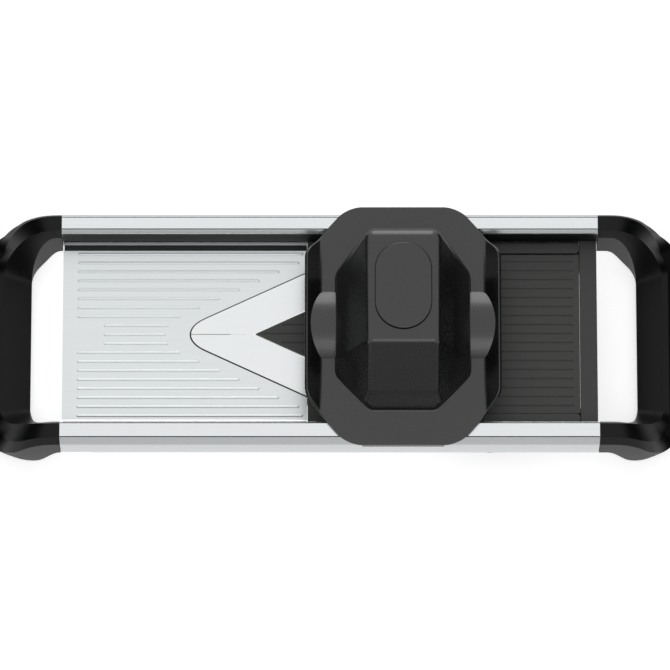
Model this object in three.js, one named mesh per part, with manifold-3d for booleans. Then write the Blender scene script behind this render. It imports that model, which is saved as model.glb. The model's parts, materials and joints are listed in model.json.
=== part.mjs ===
// A mandoline vegetable slicer with a V-shaped blade and a sliding food guard.
// Millimetres, +X towards the run-in end, +Y to the rear, +Z up, from the middle of the footprint on the table.
import * as THREE from 'three';
import { mergeVertices } from 'three/addons/utils/BufferGeometryUtils.js';
import Module from 'manifold-3d';

const wasm = await Module();
wasm.setup();

// Fits and mesh fineness
const gap = 0.3;
const overrun = 1;
const weld = 0.001;
const roundSides = 20;
const arcSteps = 6;
const quarterTurn = Math.PI / 2;

// Rails: hollow extrusions with bevelled upper edges and a ledge inside
const railLength = 315;
const railTop = 50;
const railHeight = 27.4;
const railOuter = 69.7;
const railWidth = 12.9;
const railWall = 1.6;
const railBevelWidth = 2.7;
const railBevelDrop = 7;
const railFoot = 1.5;
const grooveWidth = 0.6;
const grooveDepth = 0.4;
const ledgeTop = 27;
const ledgeThickness = 2;
const ledgeReach = 4;
const notchLength = 21.4;
const notchHeight = 3;
const notchSlope = 5;

// Handles: each arm leaves its rail, curves down to a leg and runs into a low grip bar
const leftStraight = 0.5;
const leftReach = 49;
const rightStraight = 5.3;
const rightReach = 52;
const barInner = 18.7;
const barCrestHeight = 11;
const barCrestWidth = 3.6;
const barOuterSlope = 9.4;
const barBottom = 3;
const barLip = 1.6;
const barEndHeight = 4.5;
const barEndUndercut = 4;
const legCurve = 15;
const legInset = 3.3;
const legTopInset = 1.1;
const legBevel = 5;
const legBevelRun = 8;
const armDropPower = 1.3;
const handleCornerRadius = 22;
const fingerCornerRadius = 12;
const webHeight = 11;
const spigotLength = 32;
const handleScrewInset = 26;
const armSteps = 12;

// Feet: a heel under each leg and its rubber pad
const padThickness = 1.8;
const padLength = 6;
const padWidth = 11;
const padRadius = 2.4;
const heelSpread = 5;
const heelHeight = 6;
const heelPlace = 17.1;

// Pressed deck on the run-out side
const deckTop = 31.1;
const deckSheet = 1.2;
const deckLength = 144.2;
const deckEdgeGap = 0.3;
const beadInset = 4.9;
const beadWidth = 2.4;
const beadRise = 1.2;
const deckFoldDrop = 5;
const ribPitch = 5.47;
const ribEdgeMargin = 2.3;
const ribWidth = 1.5;
const ribHeight = 0.6;
const ribRamp = 1.4;
const ribStart = 9.1;
const markPatchStart = 24.6;
const ribSeamMargin = 7;
const ribEndMargin = 2.4;
const crossbarFromSeam = 8.5;
const crossbarWidth = 14;
const crossbarThickness = 2.3;

// V blade, its carrier and the seam that both follow
const bladeTop = 31.7;
const bladeThickness = 1.2;
const halfAngle = THREE.MathUtils.degToRad(25.1);
const seamApexFromDeckEnd = 81.7;
const seamRadius = 11.05;
const cutApexFromSeam = 49.3;
const bladeInset = 5.1;
const grindWidth = 2.5;
const edgeThickness = 0.2;
const carrierBottom = 25.5;
const lapWidth = 3;
const bandWidth = 9;
const sideBarInset = 1.9;
const sideBarWidth = 5.8;
const sideBarTop = 34.6;
const sideBarMargin = 1.7;
const sideBarRadius = 2.5;
const carrierScrewInset = 7;
const carrierScrewPitch = 58;
const coverBase = 27.5;

// Fixed bridge at the run-in end
const bridgeLength = 10.3;
const bridgeTop = 33.6;

// Run-in plate, which rises and falls on the cams
const plateTop = 33;
const plateThickness = 2.6;
const plateSideGap = 0.6;
const cutClearance = 0.9;
const fineGrooveWidth = 1.1;
const fineGrooveDepth = 0.5;
const grooveEdgeMargin = 4;
const fineGrooveMargin = 4;
const plateTravel = 8.3;
const legLength = 14;
const legWidth = 6;
const legThickness = 2.8;
const legInnerShare = 0.235;
const legEndInset = 7;

// Thickness mechanism under the plate
const shaftShare = 0.395;
const shaftRadius = 3;
const camTurn = THREE.MathUtils.degToRad(270);
const camSmall = 4.5;
const camThickness = 6;
const camPlace = 26;
const camSteps = 30;
const cheekWall = 2.55;
const cheekMargin = 8;
const cheekBottom = 12;
const cheekClearance = 0.3;
const cheekFlange = 2.5;
const cheekFlangeInset = 1.7;
const bossHalf = 7;
const slotGap = 0.35;
const cheekScrewInset = 6;
const cheekFlangePast = 24;
const dialRadius = 12.2;
const dialThickness = 1.1;
const dialWaves = 24;
const dialWaveHeight = 0.3;
const dialWaveSteps = 4;
const gripHeight = 0.8;
const gripWidth = 4;
const gripShare = 0.8;

// Food guard, drawn about its own centre at the height of the rail tops
const guardFromDeck = 56.1;
const guardHalfLength = 57.6;
const lipClearance = 0.6;
const guardSheet = 2.2;
const guardStraightSide = 32.5;
const guardStraightEnd = 43.5;
const guardSideRadius = 18.6;
const guardEndRadius = 6.6;
const upturnHeight = 11.6;
const upturnAngle = THREE.MathUtils.degToRad(48);
const upturnBend = 3;
const lipHalfLength = 24;
const lipThickness = 1.7;
const lipDrop = 3;
const earHalfWidth = 20.2;
const earHeight = 6.8;
const earSteps = 12;

// Dome of the guard
const domeEndMargin = 18.25;
const collarClearance = 5.1;
const domeTopHalfLength = 19.8;
const domeCornerCutLength = 20.35;
const domeCornerCut = 20.7;
const domeHeight = 34;
const domeWall = 2.4;
const domeCreasePlace = 18;
const domeToeWidth = 8.7;
const domeShoulderHeight = 12;
const domeSideHeight = 7.5;
const domeBackLean = 1;
const domeEdgeRadius = 4;
const domeBackRadius = 3;
const domeCornerRadius = 2;
const collarDrop = 12;

// Pusher: an oval piston in the dome, with a prong plate at its end
const buttonHalfWidth = 16.4;
const buttonHalfLength = 26;
const buttonInset = 36.9;
const buttonProud = 1.5;
const buttonRim = 3;
const buttonSeat = 1.2;
const buttonSlack = 0.4;
const pistonWall = 2;
const pistonBottom = 0.9;
const sleeveDrop = 8;
const sleeveWall = 2;
const pusherHalfWidth = 19;
const pusherHalfLength = 29;
const pusherRadius = 8;
const pusherThickness = 2.5;
const combThickness = 1;
const combInset = 2;
const prongLength = 9;
const prongRadius = 1.1;
const prongTipRadius = 0.15;
const prongSides = 8;
const prongColumnPitch = 10.5;
const prongRowPitch = 10.5;
const prongRows = 5;
const bossRadius = 4.2;

// Screws
const screwRadius = 1.5;
const screwHeadRadius = 3;
const screwHeadHeight = 1.6;
const screwLength = 9;
const smallScrewRadius = 1;
const smallScrewHeadRadius = 1.9;
const smallScrewHeadHeight = 1.1;
const smallScrewLength = 5;
const dialScrewHeadRadius = 2.4;
const dialScrewHeadHeight = 0.9;

// Places that follow from the sizes above
const railStart = leftReach - (leftReach + railLength + rightReach) / 2;
const railEnd = railStart + railLength;
const railInner = railOuter - railWidth;
const railBottom = railTop - railHeight;
const railMiddle = railOuter - railWidth / 2;
const ledgeInner = railInner - ledgeReach;
const ledgeMiddle = railInner - ledgeReach / 2;
const carrierEdge = railInner - gap;
const beadInner = carrierEdge - beadInset;
const beadOuter = beadInner + beadWidth;
const bladeHalfSpan = carrierEdge - bladeInset;
const sideBarOuter = carrierEdge - sideBarInset;
const sideBarInner = sideBarOuter - sideBarWidth;
const plateHalfWidth = sideBarInner - plateSideGap;
const cheekInner = plateHalfWidth - legThickness - slotGap - cheekWall;
const cheekFlangeOuter = railOuter - cheekFlangeInset;
const slope = Math.tan(halfAngle);
const deckEnd = railStart + deckLength;
const seamApex = deckEnd - seamApexFromDeckEnd;
const cutApex = seamApex + cutApexFromSeam;
const bridgeStart = railEnd - bridgeLength;
const guardPlace = deckEnd + guardFromDeck;
const bandApex = seamApex + bandWidth / Math.sin(halfAngle);
const plateApex = cutApex + cutClearance / Math.sin(halfAngle);
const plateEnd = bridgeStart - gap;
const bladeEnd = plateApex + bladeHalfSpan / slope;
const sideBarStart = bladeEnd + sideBarMargin;
const plateShoulder = plateApex + plateHalfWidth / slope;
const shaftPlace = THREE.MathUtils.lerp(plateShoulder, plateEnd, shaftShare);
const legInnerPlace = THREE.MathUtils.lerp(plateShoulder, plateEnd, legInnerShare);
const legOuterPlace = plateEnd - legEndInset;
const cheekStart = legInnerPlace - cheekMargin;
const cheekEnd = legOuterPlace + cheekMargin;
const cheekFlangeEnd = shaftPlace + cheekFlangePast;
const ribSteps = Math.floor((beadInner - ribEdgeMargin) / ribPitch);
const fineGrooveSteps = Math.floor((plateHalfWidth - grooveEdgeMargin) / ribPitch);
const plateBottom = plateTop - plateThickness;
const camLarge = camSmall + plateTravel;
const shaftHeight = plateBottom - gap - camLarge;
const camLift = plateTravel / camTurn;
const cheekTop = plateBottom - plateTravel - cheekClearance;
const dialInner = railOuter + gap;
const dialOuter = dialInner + dialThickness;
const flangeBottom = gap;
const flangeTop = flangeBottom + guardSheet;
const upturnRun = (upturnHeight - flangeTop) / Math.tan(upturnAngle);
const upturnFoot = guardHalfLength - guardSheet * Math.sin(upturnAngle) - upturnRun;
const guardHalfWidth = railOuter + lipClearance + lipThickness;
const domeHalfLength = guardHalfLength - domeEndMargin;
const domeCornerLength = domeHalfLength - domeCornerCutLength;
const domeHalfWidth = railInner - collarClearance;
const domeCornerWidth = domeHalfWidth - domeCornerCut;
const domeShoulderPlace = domeHalfWidth - domeToeWidth;
const domeTop = flangeTop + domeHeight;
const buttonPlace = domeHalfWidth - buttonInset;
const buttonTop = domeTop + buttonProud;
const buttonSeatHeight = domeTop - buttonRim + buttonProud;
const pusherTop = -pistonBottom - gap;
const combTop = pusherTop - pusherThickness - gap;

const unitX = new THREE.Vector3(1, 0, 0);
const unitY = new THREE.Vector3(0, 1, 0);
const unitZ = new THREE.Vector3(0, 0, 1);
const axisBases = {
  x: new THREE.Matrix4().makeBasis(unitY, unitZ, unitX),
  y: new THREE.Matrix4().makeBasis(unitX, unitZ, unitY.clone().negate()),
  z: new THREE.Matrix4(),
};
const rodTurns = {
  x: new THREE.Matrix4().makeRotationZ(quarterTurn),
  y: new THREE.Matrix4(),
  z: new THREE.Matrix4().makeRotationX(quarterTurn),
};

// A closed geometry as a solid that can be joined and cut
function solidOf(geometry) {
  const bare = geometry.clone();
  bare.deleteAttribute('normal');
  bare.deleteAttribute('uv');
  const merged = mergeVertices(bare, weld);
  const solid = new wasm.Mesh({
    numProp: 3,
    vertProperties: merged.attributes.position.array,
    triVerts: new Uint32Array(merged.index.array),
  });
  return new wasm.Manifold(solid);
}

// A solid as a geometry with flat faces
function geometryOf(solid) {
  const mesh = solid.getMesh();
  const geometry = new THREE.BufferGeometry();
  geometry.setAttribute('position', new THREE.BufferAttribute(mesh.vertProperties, 3));
  geometry.setIndex(new THREE.BufferAttribute(mesh.triVerts, 1));
  const faceted = geometry.toNonIndexed();
  faceted.computeVertexNormals();
  return faceted;
}

function joined(...solids) {
  return solids.flat().reduce((whole, solid) => whole.add(solid));
}

function without(whole, ...cuts) {
  return cuts.flat().reduce((rest, cut) => rest.subtract(cut), whole);
}

function common(...solids) {
  return solids.reduce((rest, solid) => rest.intersect(solid));
}

// An outline with rounded corners: each corner is [across, up, radius]
function rounded(corners) {
  const points = [];
  corners.forEach(([across, up, radius = 0], place) => {
    const here = new THREE.Vector2(across, up);
    const before = new THREE.Vector2(...corners.at(place - 1)).sub(here).normalize();
    const after = new THREE.Vector2(...corners[(place + 1) % corners.length]).sub(here).normalize();
    if (radius === 0) {
      points.push(here);
      return;
    }
    const half = before.angleTo(after) / 2;
    const centre = before.clone().add(after).setLength(radius / Math.sin(half)).add(here);
    const start = here.clone().addScaledVector(before, radius / Math.tan(half));
    const turn = (Math.PI - 2 * half) * -Math.sign(before.cross(after));
    for (let step = 0; step <= arcSteps; step += 1) {
      points.push(start.clone().rotateAround(centre, (turn * step) / arcSteps));
    }
  });
  return new THREE.Shape(points);
}

// An outline with its corners mirrored to the other side of the upright line
function mirrored(corners) {
  return corners.map(([across, ...rest]) => [-across, ...rest]).reverse();
}

// A convex outline drawn in by an even amount on every side
function drawnIn(corners, amount) {
  const edges = corners.map(([across, up], place) => {
    const start = new THREE.Vector2(across, up);
    const along = new THREE.Vector2(...corners[(place + 1) % corners.length]).sub(start).normalize();
    const inward = new THREE.Vector2(-along.y, along.x);
    return { start: start.addScaledVector(inward, amount), along };
  });
  return edges.map((edge, place) => {
    const last = edges.at(place - 1);
    const across = edge.start.clone().sub(last.start).cross(edge.along) / last.along.cross(edge.along);
    const corner = last.start.clone().addScaledVector(last.along, across);
    return [corner.x, corner.y, Math.max((corners[place][2] ?? 0) - amount, 0)];
  });
}

function oval(halfAcross, halfUp, centreUp, grow = 0) {
  const across = halfAcross + grow;
  const up = halfUp + grow;
  const points = [];
  for (let step = 0; step < 2 * roundSides; step += 1) {
    const angle = (Math.PI * step) / (roundSides - 1) - (step >= roundSides ? Math.PI / (roundSides - 1) : 0);
    const shift = step < roundSides ? up - across : across - up;
    points.push(new THREE.Vector2(across * Math.cos(angle), centreUp + shift + across * Math.sin(angle)));
  }
  return new THREE.Shape(points);
}

// A prism along an axis. Along x the outline is drawn in y and z, along y in x and z, along z in x and y
function prism(axis, outline, [low, high], bevel = 0) {
  const geometry = new THREE.ExtrudeGeometry(outline, {
    depth: high - low - 2 * bevel,
    bevelEnabled: bevel > 0,
    bevelThickness: bevel,
    bevelSize: bevel,
    bevelOffset: -bevel,
    bevelSegments: 2,
  });
  geometry.translate(0, 0, bevel + (axis === 'y' ? -high : low));
  geometry.applyMatrix4(axisBases[axis]);
  return solidOf(geometry);
}

function block([left, right], [front, rear], [bottom, top]) {
  const geometry = new THREE.BoxGeometry(right - left, rear - front, top - bottom);
  geometry.translate((left + right) / 2, (front + rear) / 2, (bottom + top) / 2);
  return solidOf(geometry);
}

function rod(axis, radius, [low, high], place, endRadius = radius, sides = roundSides) {
  const geometry = new THREE.CylinderGeometry(endRadius, radius, high - low, sides);
  geometry.applyMatrix4(rodTurns[axis]);
  const centre = { x: 0, y: 0, z: 0, ...place, [axis]: (low + high) / 2 };
  geometry.translate(centre.x, centre.y, centre.z);
  return solidOf(geometry);
}

// A closed body through rings of equally many points, which run anticlockwise seen from its last ring
function loft(rings) {
  const sides = rings[0].length;
  const last = (rings.length - 1) * sides;
  const index = [];
  for (let start = 0; start < last; start += sides) {
    for (let side = 0; side < sides; side += 1) {
      const here = start + side;
      const next = start + ((side + 1) % sides);
      index.push(here, next, next + sides, here, next + sides, here + sides);
    }
  }
  for (let side = 1; side < sides - 1; side += 1) {
    index.push(0, side + 1, side, last, last + side, last + side + 1);
  }
  const geometry = new THREE.BufferGeometry();
  const places = rings.flat().flatMap((point) => point.toArray());
  geometry.setAttribute('position', new THREE.Float32BufferAttribute(places, 3));
  geometry.setIndex(index);
  return solidOf(geometry);
}

// The V that the seam, the blade and the tongue of the plate share, pointing to -X
function wedge(apex, radius, end) {
  const half = (end - apex) * slope;
  return rounded([[apex, 0, radius], [end, -half], [end, half]]);
}

function onBothSides(make) {
  return [1, -1].map(make);
}

// Sorts a span on one side of the centre line, so that it runs from low to high
function span(side, inner, outer) {
  return side > 0 ? [inner, outer] : [-outer, -inner];
}

function smooth(share) {
  const held = THREE.MathUtils.clamp(share, 0, 1);
  return held * held * (3 - 2 * held);
}

// A pan-head screw, head down, with the underside of its head at height zero
function panScrew(radius, headRadius, headHeight, length) {
  return joined(
    rod('z', radius, [-headHeight / 2, length], {}),
    rod('z', headRadius, [-headHeight, 0], {}),
  );
}

function handleScrewHole(x) {
  return rod('z', screwRadius + gap, [railBottom - overrun, railTop - railWidth], { x, y: railMiddle });
}

// Rail, drawn for the rear. The front rail mirrors it and has a notch at its run-out end
function railSolid(notched) {
  const groove = [
    [railOuter - railBevelWidth, railTop],
    [railOuter - railBevelWidth - grooveWidth, railTop],
    [railOuter - railBevelWidth - grooveWidth, railTop - grooveDepth],
    [railOuter - railBevelWidth - 2 * grooveWidth, railTop - grooveDepth],
    [railOuter - railBevelWidth - 2 * grooveWidth, railTop],
  ];
  const innerGroove = groove.map(([y, z]) => [railInner + railOuter - y, z]).reverse();
  const outline = rounded([
    [railInner, railBottom],
    [railOuter - railFoot, railBottom],
    [railOuter, railBottom + railFoot],
    [railOuter, railTop - railBevelDrop],
    ...groove,
    ...innerGroove,
    [railInner, railTop - railBevelDrop],
    [railInner, ledgeTop],
    [ledgeInner, ledgeTop],
    [ledgeInner, ledgeTop - ledgeThickness],
    [railInner, ledgeTop - ledgeThickness],
  ]);
  const hollow = rounded(railHollow(railWall));
  let rail = without(
    prism('x', outline, [railStart, railEnd]),
    prism('x', hollow, [railStart - overrun, railEnd + overrun]),
  );
  const endHoles = [railStart + handleScrewInset, railEnd - handleScrewInset].map(handleScrewHole);
  const cheekHoles = cheekScrewPlaces().map(handleScrewHole);
  const ledgeHoles = ledgeScrewPlaces().map((x) =>
    rod('z', smallScrewRadius + gap, [ledgeTop - ledgeThickness - overrun, ledgeTop + overrun], {
      x,
      y: ledgeMiddle,
    }),
  );
  rail = without(rail, endHoles, cheekHoles, ledgeHoles);
  if (!notched) return rail;
  const notch = rounded([
    [railStart - overrun, railBottom - overrun],
    [railStart + notchLength, railBottom - overrun],
    [railStart + notchLength, railBottom],
    [railStart + notchLength - notchSlope, railBottom + notchHeight],
    [railStart - overrun, railBottom + notchHeight],
  ]);
  return without(rail, prism('y', notch, [railInner - overrun, railOuter + overrun]));
}

function railHollow(wall) {
  return [
    [railInner + wall, railBottom + wall],
    [railOuter - wall, railBottom + wall],
    [railOuter - wall, railTop - railBevelDrop],
    [railOuter - railBevelWidth - wall / 2, railTop - wall],
    [railInner + railBevelWidth + wall / 2, railTop - wall],
    [railInner + wall, railTop - railBevelDrop],
  ];
}

// Height of the upper and lower edge of a handle's arm at a distance from the rail's end
function armTop(out, { straight, reach }) {
  const crest = reach - barOuterSlope - barCrestWidth;
  const share = THREE.MathUtils.clamp((out - straight) / (crest - straight), 0, 1);
  return railTop - (railTop - barCrestHeight) * (1 - Math.cos(quarterTurn * share ** armDropPower));
}

function armBottom(out, { straight }) {
  return railBottom - (railBottom - barBottom) * smooth((out - straight) / legCurve);
}

function armRing(out, side, handle) {
  const top = armTop(out, handle);
  const bottom = armBottom(out, handle);
  const pastHeel = smooth((out - handle.straight - heelPlace - padLength / 2) / legBevelRun);
  const bevel = railBevelDrop * Math.min((top - bottom) / railHeight, 1);
  const foot = THREE.MathUtils.lerp(railFoot, legBevel, pastHeel);
  const corners = [
    [railInner - legInset, bottom],
    [railOuter - railFoot, bottom],
    [railOuter, bottom + foot],
    [railOuter, top - bevel],
    [railOuter - railBevelWidth, top],
    [railInner + railBevelWidth - legTopInset, top],
    [railInner - legTopInset, top - bevel],
  ];
  const ring = corners.map(([y, z]) => new THREE.Vector3(out, side * y, z));
  return side > 0 ? ring : ring.reverse();
}

function handleArm(side, handle) {
  const end = handle.reach - barOuterSlope;
  const rings = [];
  for (let step = 0; step <= armSteps; step += 1) {
    rings.push(armRing((end * step) / armSteps, side, handle));
  }
  return loft(rings);
}

// Web that rounds the finger opening where an arm meets the bar
function handleWeb(side, handle) {
  const inner = handle.straight + barInner;
  const arm = side * (railInner - legInset);
  const plan = new THREE.Shape();
  plan.moveTo(inner - fingerCornerRadius, arm);
  plan.absarc(
    inner - fingerCornerRadius,
    arm - side * fingerCornerRadius,
    fingerCornerRadius,
    side * quarterTurn,
    0,
    side > 0,
  );
  plan.lineTo(inner + overrun, arm - side * fingerCornerRadius);
  plan.lineTo(inner + overrun, arm + side * overrun);
  plan.lineTo(inner - fingerCornerRadius, arm + side * overrun);
  const edges = [];
  for (let step = 0; step <= armSteps; step += 1) {
    const out = inner + overrun - ((fingerCornerRadius + overrun) * step) / armSteps;
    edges.push([out, armBottom(out, handle)]);
  }
  const outline = rounded([
    ...edges,
    ...edges.map(([out, up]) => [out, up + webHeight]).reverse(),
  ]);
  const sides = side > 0 ? [0, railOuter] : [-railOuter, 0];
  return common(prism('z', plan, [0, railTop]), prism('y', outline, sides));
}

function handleHeel(side, { straight }) {
  const middle = straight + heelPlace;
  const half = padLength / 2;
  const bottom = padThickness + gap;
  const outline = rounded([
    [middle - half, bottom],
    [middle + half, bottom],
    [middle + half + heelSpread, bottom + heelHeight],
    [middle - half - heelSpread, bottom + heelHeight],
  ]);
  return prism('y', outline, span(side, railMiddle - padWidth / 2, railMiddle + padWidth / 2));
}

function handleSpigot(side) {
  const outline = railHollow(railWall + gap).map(([y, z]) => [side * y, z]);
  const spigot = prism('x', rounded(outline), [-spigotLength, overrun]);
  const y = side * railMiddle;
  const hole = rod('z', screwRadius + gap, [railBottom, railBottom + screwLength + overrun], {
    x: -handleScrewInset,
    y,
  });
  return without(spigot, hole);
}

// Handle, drawn from the end of the rails outwards along +X
function handleSolid(handle) {
  const inner = handle.straight + barInner;
  const crestEnd = handle.reach - barOuterSlope;
  const bar = rounded([
    [inner, barBottom],
    [handle.reach - barEndUndercut, barBottom],
    [handle.reach, barBottom + barEndHeight],
    [crestEnd, barCrestHeight],
    [crestEnd - barCrestWidth, barCrestHeight],
    [inner, barBottom + barLip],
  ]);
  const plan = rounded([
    [-spigotLength - overrun, -railOuter],
    [handle.reach, -railOuter, handleCornerRadius],
    [handle.reach, railOuter, handleCornerRadius],
    [-spigotLength - overrun, railOuter],
  ]);
  const whole = joined(
    prism('y', bar, [-railOuter, railOuter]),
    onBothSides((side) => handleArm(side, handle)),
    onBothSides((side) => handleWeb(side, handle)),
    onBothSides((side) => handleHeel(side, handle)),
    onBothSides(handleSpigot),
  );
  return common(whole, prism('z', plan, [0, railTop]));
}

function padSolid() {
  const half = padLength / 2;
  const wide = padWidth / 2;
  const outline = rounded([
    [-half, -wide, padRadius],
    [half, -wide, padRadius],
    [half, wide, padRadius],
    [-half, wide, padRadius],
  ]);
  return prism('z', outline, [0, padThickness]);
}

// Deck: a sheet with folded edges, a raised bead on each side, long ribs and the V cut-out
function deckSection() {
  const edge = carrierEdge;
  const under = deckTop - deckSheet;
  const foldEnd = ledgeTop + gap;
  const right = [
    [beadInner, deckTop],
    [beadOuter, deckTop + beadRise],
    [edge, deckTop + beadRise],
    [edge, foldEnd],
    [edge - deckSheet, foldEnd],
    [edge - deckSheet, under + beadRise],
    [beadOuter + deckSheet / 2, under + beadRise],
    [beadInner + deckSheet / 2, under],
  ].reverse();
  return rounded([...right, ...mirrored(right)]);
}

function ribSolid(row) {
  const y = row * ribPitch;
  const start = railStart + (Math.abs(row) <= 1 ? markPatchStart : ribStart);
  const seamEnd = seamLine(Math.abs(y)) - ribSeamMargin / Math.sin(halfAngle);
  const end = Math.min(seamEnd, deckEnd - ribEndMargin);
  const outline = rounded([
    [start, deckTop - deckSheet / 2],
    [end, deckTop - deckSheet / 2],
    [end, deckTop],
    [end - ribRamp, deckTop + ribHeight],
    [start + ribRamp, deckTop + ribHeight],
    [start, deckTop],
  ]);
  return prism('y', outline, [y - ribWidth / 2, y + ribWidth / 2]);
}

// Where the rounded seam stands at a distance from the centre line
function seamLine(off) {
  const tangent = seamRadius * Math.cos(halfAngle);
  if (off > tangent) return seamApex + off / slope;
  const centre = seamApex + seamRadius / Math.sin(halfAngle);
  return centre - Math.sqrt(seamRadius ** 2 - off ** 2);
}

function deckSolid() {
  const start = railStart + deckEdgeGap;
  const sheet = prism('x', deckSection(), [start, deckEnd]);
  const fold = block(
    [start, start + deckSheet],
    [-beadInner, beadInner],
    [deckTop - deckFoldDrop, deckTop - deckSheet / 2],
  );
  const ribs = [];
  for (let row = -ribSteps; row <= ribSteps; row += 1) ribs.push(ribSolid(row));
  const cutOut = prism('z', wedge(seamApex, seamRadius, deckEnd + overrun), [ledgeTop, railTop]);
  return without(joined(sheet, fold, ribs), cutOut);
}

function crossbarSolid() {
  const end = seamApex - crossbarFromSeam;
  const half = carrierEdge - deckSheet - gap;
  const bottom = ledgeTop + gap;
  return block([end - crossbarWidth, end], [-half, half], [bottom, bottom + crossbarThickness]);
}

// Blade half, drawn for the rear
function bladeSolid() {
  const inset = gap / Math.sin(halfAngle);
  const bottom = bladeTop - bladeThickness;
  const past = bladeEnd + overrun;
  const whole = prism('z', wedge(seamApex + inset, seamRadius - gap, bladeEnd), [bottom, bladeTop]);
  const cut = prism('z', wedge(cutApex, 0, past), [bottom - overrun, bladeTop + overrun]);
  const under = (apex, z) => [
    new THREE.Vector3(apex, 0, z),
    new THREE.Vector3(past, (apex - past) * slope, z),
    new THREE.Vector3(past, (past - apex) * slope, z),
  ];
  const grind = loft([
    under(cutApex - grindWidth / Math.sin(halfAngle), bottom - edgeThickness),
    under(cutApex, bladeTop - edgeThickness),
  ]);
  const strip = block(
    [seamApex, bladeEnd],
    [gap / 2, bladeHalfSpan],
    [bottom - overrun, bladeTop + overrun],
  );
  return common(without(whole, cut, grind), strip);
}

function ledgeScrewPlaces() {
  const first = deckEnd + carrierScrewInset;
  return [first, first + carrierScrewPitch, bridgeStart + bridgeLength / 2];
}

function ledgeScrewHole(x, side) {
  const y = side * ledgeMiddle;
  return rod('z', smallScrewRadius + gap, [ledgeTop - overrun, ledgeTop + smallScrewLength], { x, y });
}

// Blade carrier: a band under the V, black cover plates beside it and two long side bars
function carrierSolid() {
  const start = deckEnd + gap;
  const end = plateEnd;
  const shelfTop = bladeTop - bladeThickness - gap;
  const lapApex = seamApex - lapWidth / Math.sin(halfAngle);
  const bandEnd = bandApex + sideBarInner / slope;
  const seat = seamApex + gap / Math.sin(halfAngle);
  const bottomAtLedge = ledgeTop + gap;
  const parts = [
    common(
      joined(
        prism('z', wedge(lapApex, seamRadius, bandEnd), [carrierBottom, deckTop - deckSheet - gap]),
        prism('z', wedge(seat, seamRadius, bandEnd), [carrierBottom, shelfTop]),
      ),
      block([lapApex, bandEnd], [gap - ledgeInner, ledgeInner - gap], [carrierBottom, shelfTop]),
    ),
    without(
      block([start, bandEnd], [-carrierEdge, carrierEdge], [coverBase, bladeTop]),
      prism('z', wedge(seamApex, seamRadius, bandEnd + overrun), [shelfTop, railTop]),
    ),
  ];
  onBothSides((side) => {
    const inner = span(side, sideBarInner, ledgeInner - gap);
    const outer = span(side, ledgeInner - gap, carrierEdge);
    const cover = span(side, bladeHalfSpan + gap, carrierEdge);
    const bar = [
      [sideBarStart, side * sideBarInner],
      [end, side * sideBarInner, sideBarRadius],
      [end, side * sideBarOuter, sideBarRadius],
      [sideBarStart, side * sideBarOuter],
    ];
    parts.push(
      block([start, end], inner, [carrierBottom, shelfTop]),
      block([start, end], outer, [bottomAtLedge, shelfTop]),
      block([start, sideBarStart + overrun], cover, [bottomAtLedge, bladeTop]),
      prism('z', rounded(bar), [bottomAtLedge + overrun, sideBarTop]),
    );
  });
  const opening = without(
    prism('z', wedge(bandApex, seamRadius, end), [0, railTop]),
    onBothSides((side) => {
      const across = span(side, sideBarInner, carrierEdge + overrun);
      return block([start, end], across, [0, railTop]);
    }),
  );
  const holes = [1, -1].flatMap((side) =>
    ledgeScrewPlaces().slice(0, 2).map((x) => ledgeScrewHole(x, side)),
  );
  return without(joined(parts), opening, holes);
}

function bridgeSolid() {
  const end = railEnd - deckEdgeGap;
  const body = block([bridgeStart, end], [-carrierEdge, carrierEdge], [ledgeTop + gap, bridgeTop]);
  const x = ledgeScrewPlaces().at(-1);
  return without(body, onBothSides((side) => ledgeScrewHole(x, side)));
}

// Run-in plate with its tongue, fine grooves and four guide legs
function plateSolid() {
  const plan = rounded([
    [plateApex, 0],
    [plateShoulder, -plateHalfWidth],
    [plateEnd, -plateHalfWidth],
    [plateEnd, plateHalfWidth],
    [plateShoulder, plateHalfWidth],
  ]);
  const grooves = [];
  for (let row = -fineGrooveSteps; row <= fineGrooveSteps; row += 1) {
    const y = row * ribPitch;
    const start = plateApex + Math.abs(y) / slope + fineGrooveMargin;
    grooves.push(
      block(
        [start, plateEnd - fineGrooveMargin],
        [y - fineGrooveWidth / 2, y + fineGrooveWidth / 2],
        [plateTop - fineGrooveDepth, plateTop + overrun],
      ),
    );
  }
  const legs = [legInnerPlace, legOuterPlace].flatMap((x) =>
    onBothSides((side) =>
      block(
        [x - legWidth / 2, x + legWidth / 2],
        span(side, plateHalfWidth - legThickness, plateHalfWidth),
        [plateBottom - legLength, plateTop - plateThickness / 2],
      ),
    ),
  );
  const sheet = prism('z', plan, [plateBottom, plateTop]);
  return joined(without(sheet, grooves), legs);
}

// Cam, drawn about the shaft. Its radius under the plate falls evenly with the turn of the shaft
function camSolid() {
  const points = [];
  for (let step = 0; step <= camSteps; step += 1) {
    const turned = (camTurn * step) / camSteps;
    const angle = quarterTurn + turned;
    const lift = camLarge - camLift * turned;
    points.push([
      lift * Math.cos(angle) + camLift * Math.sin(angle),
      lift * Math.sin(angle) - camLift * Math.cos(angle),
    ]);
  }
  const half = camThickness / 2;
  const bore = rod('y', shaftRadius + gap, [-half - overrun, half + overrun], {});
  return without(prism('y', rounded(points), [-half, half]), bore);
}

function shaftSolid() {
  const end = dialInner - gap;
  const shaft = rod('y', shaftRadius, [gap - cheekFlangeOuter, end], {});
  const hole = rod('y', smallScrewRadius + gap, [end - smallScrewLength - overrun, end + overrun], {});
  return without(shaft, hole);
}

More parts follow.
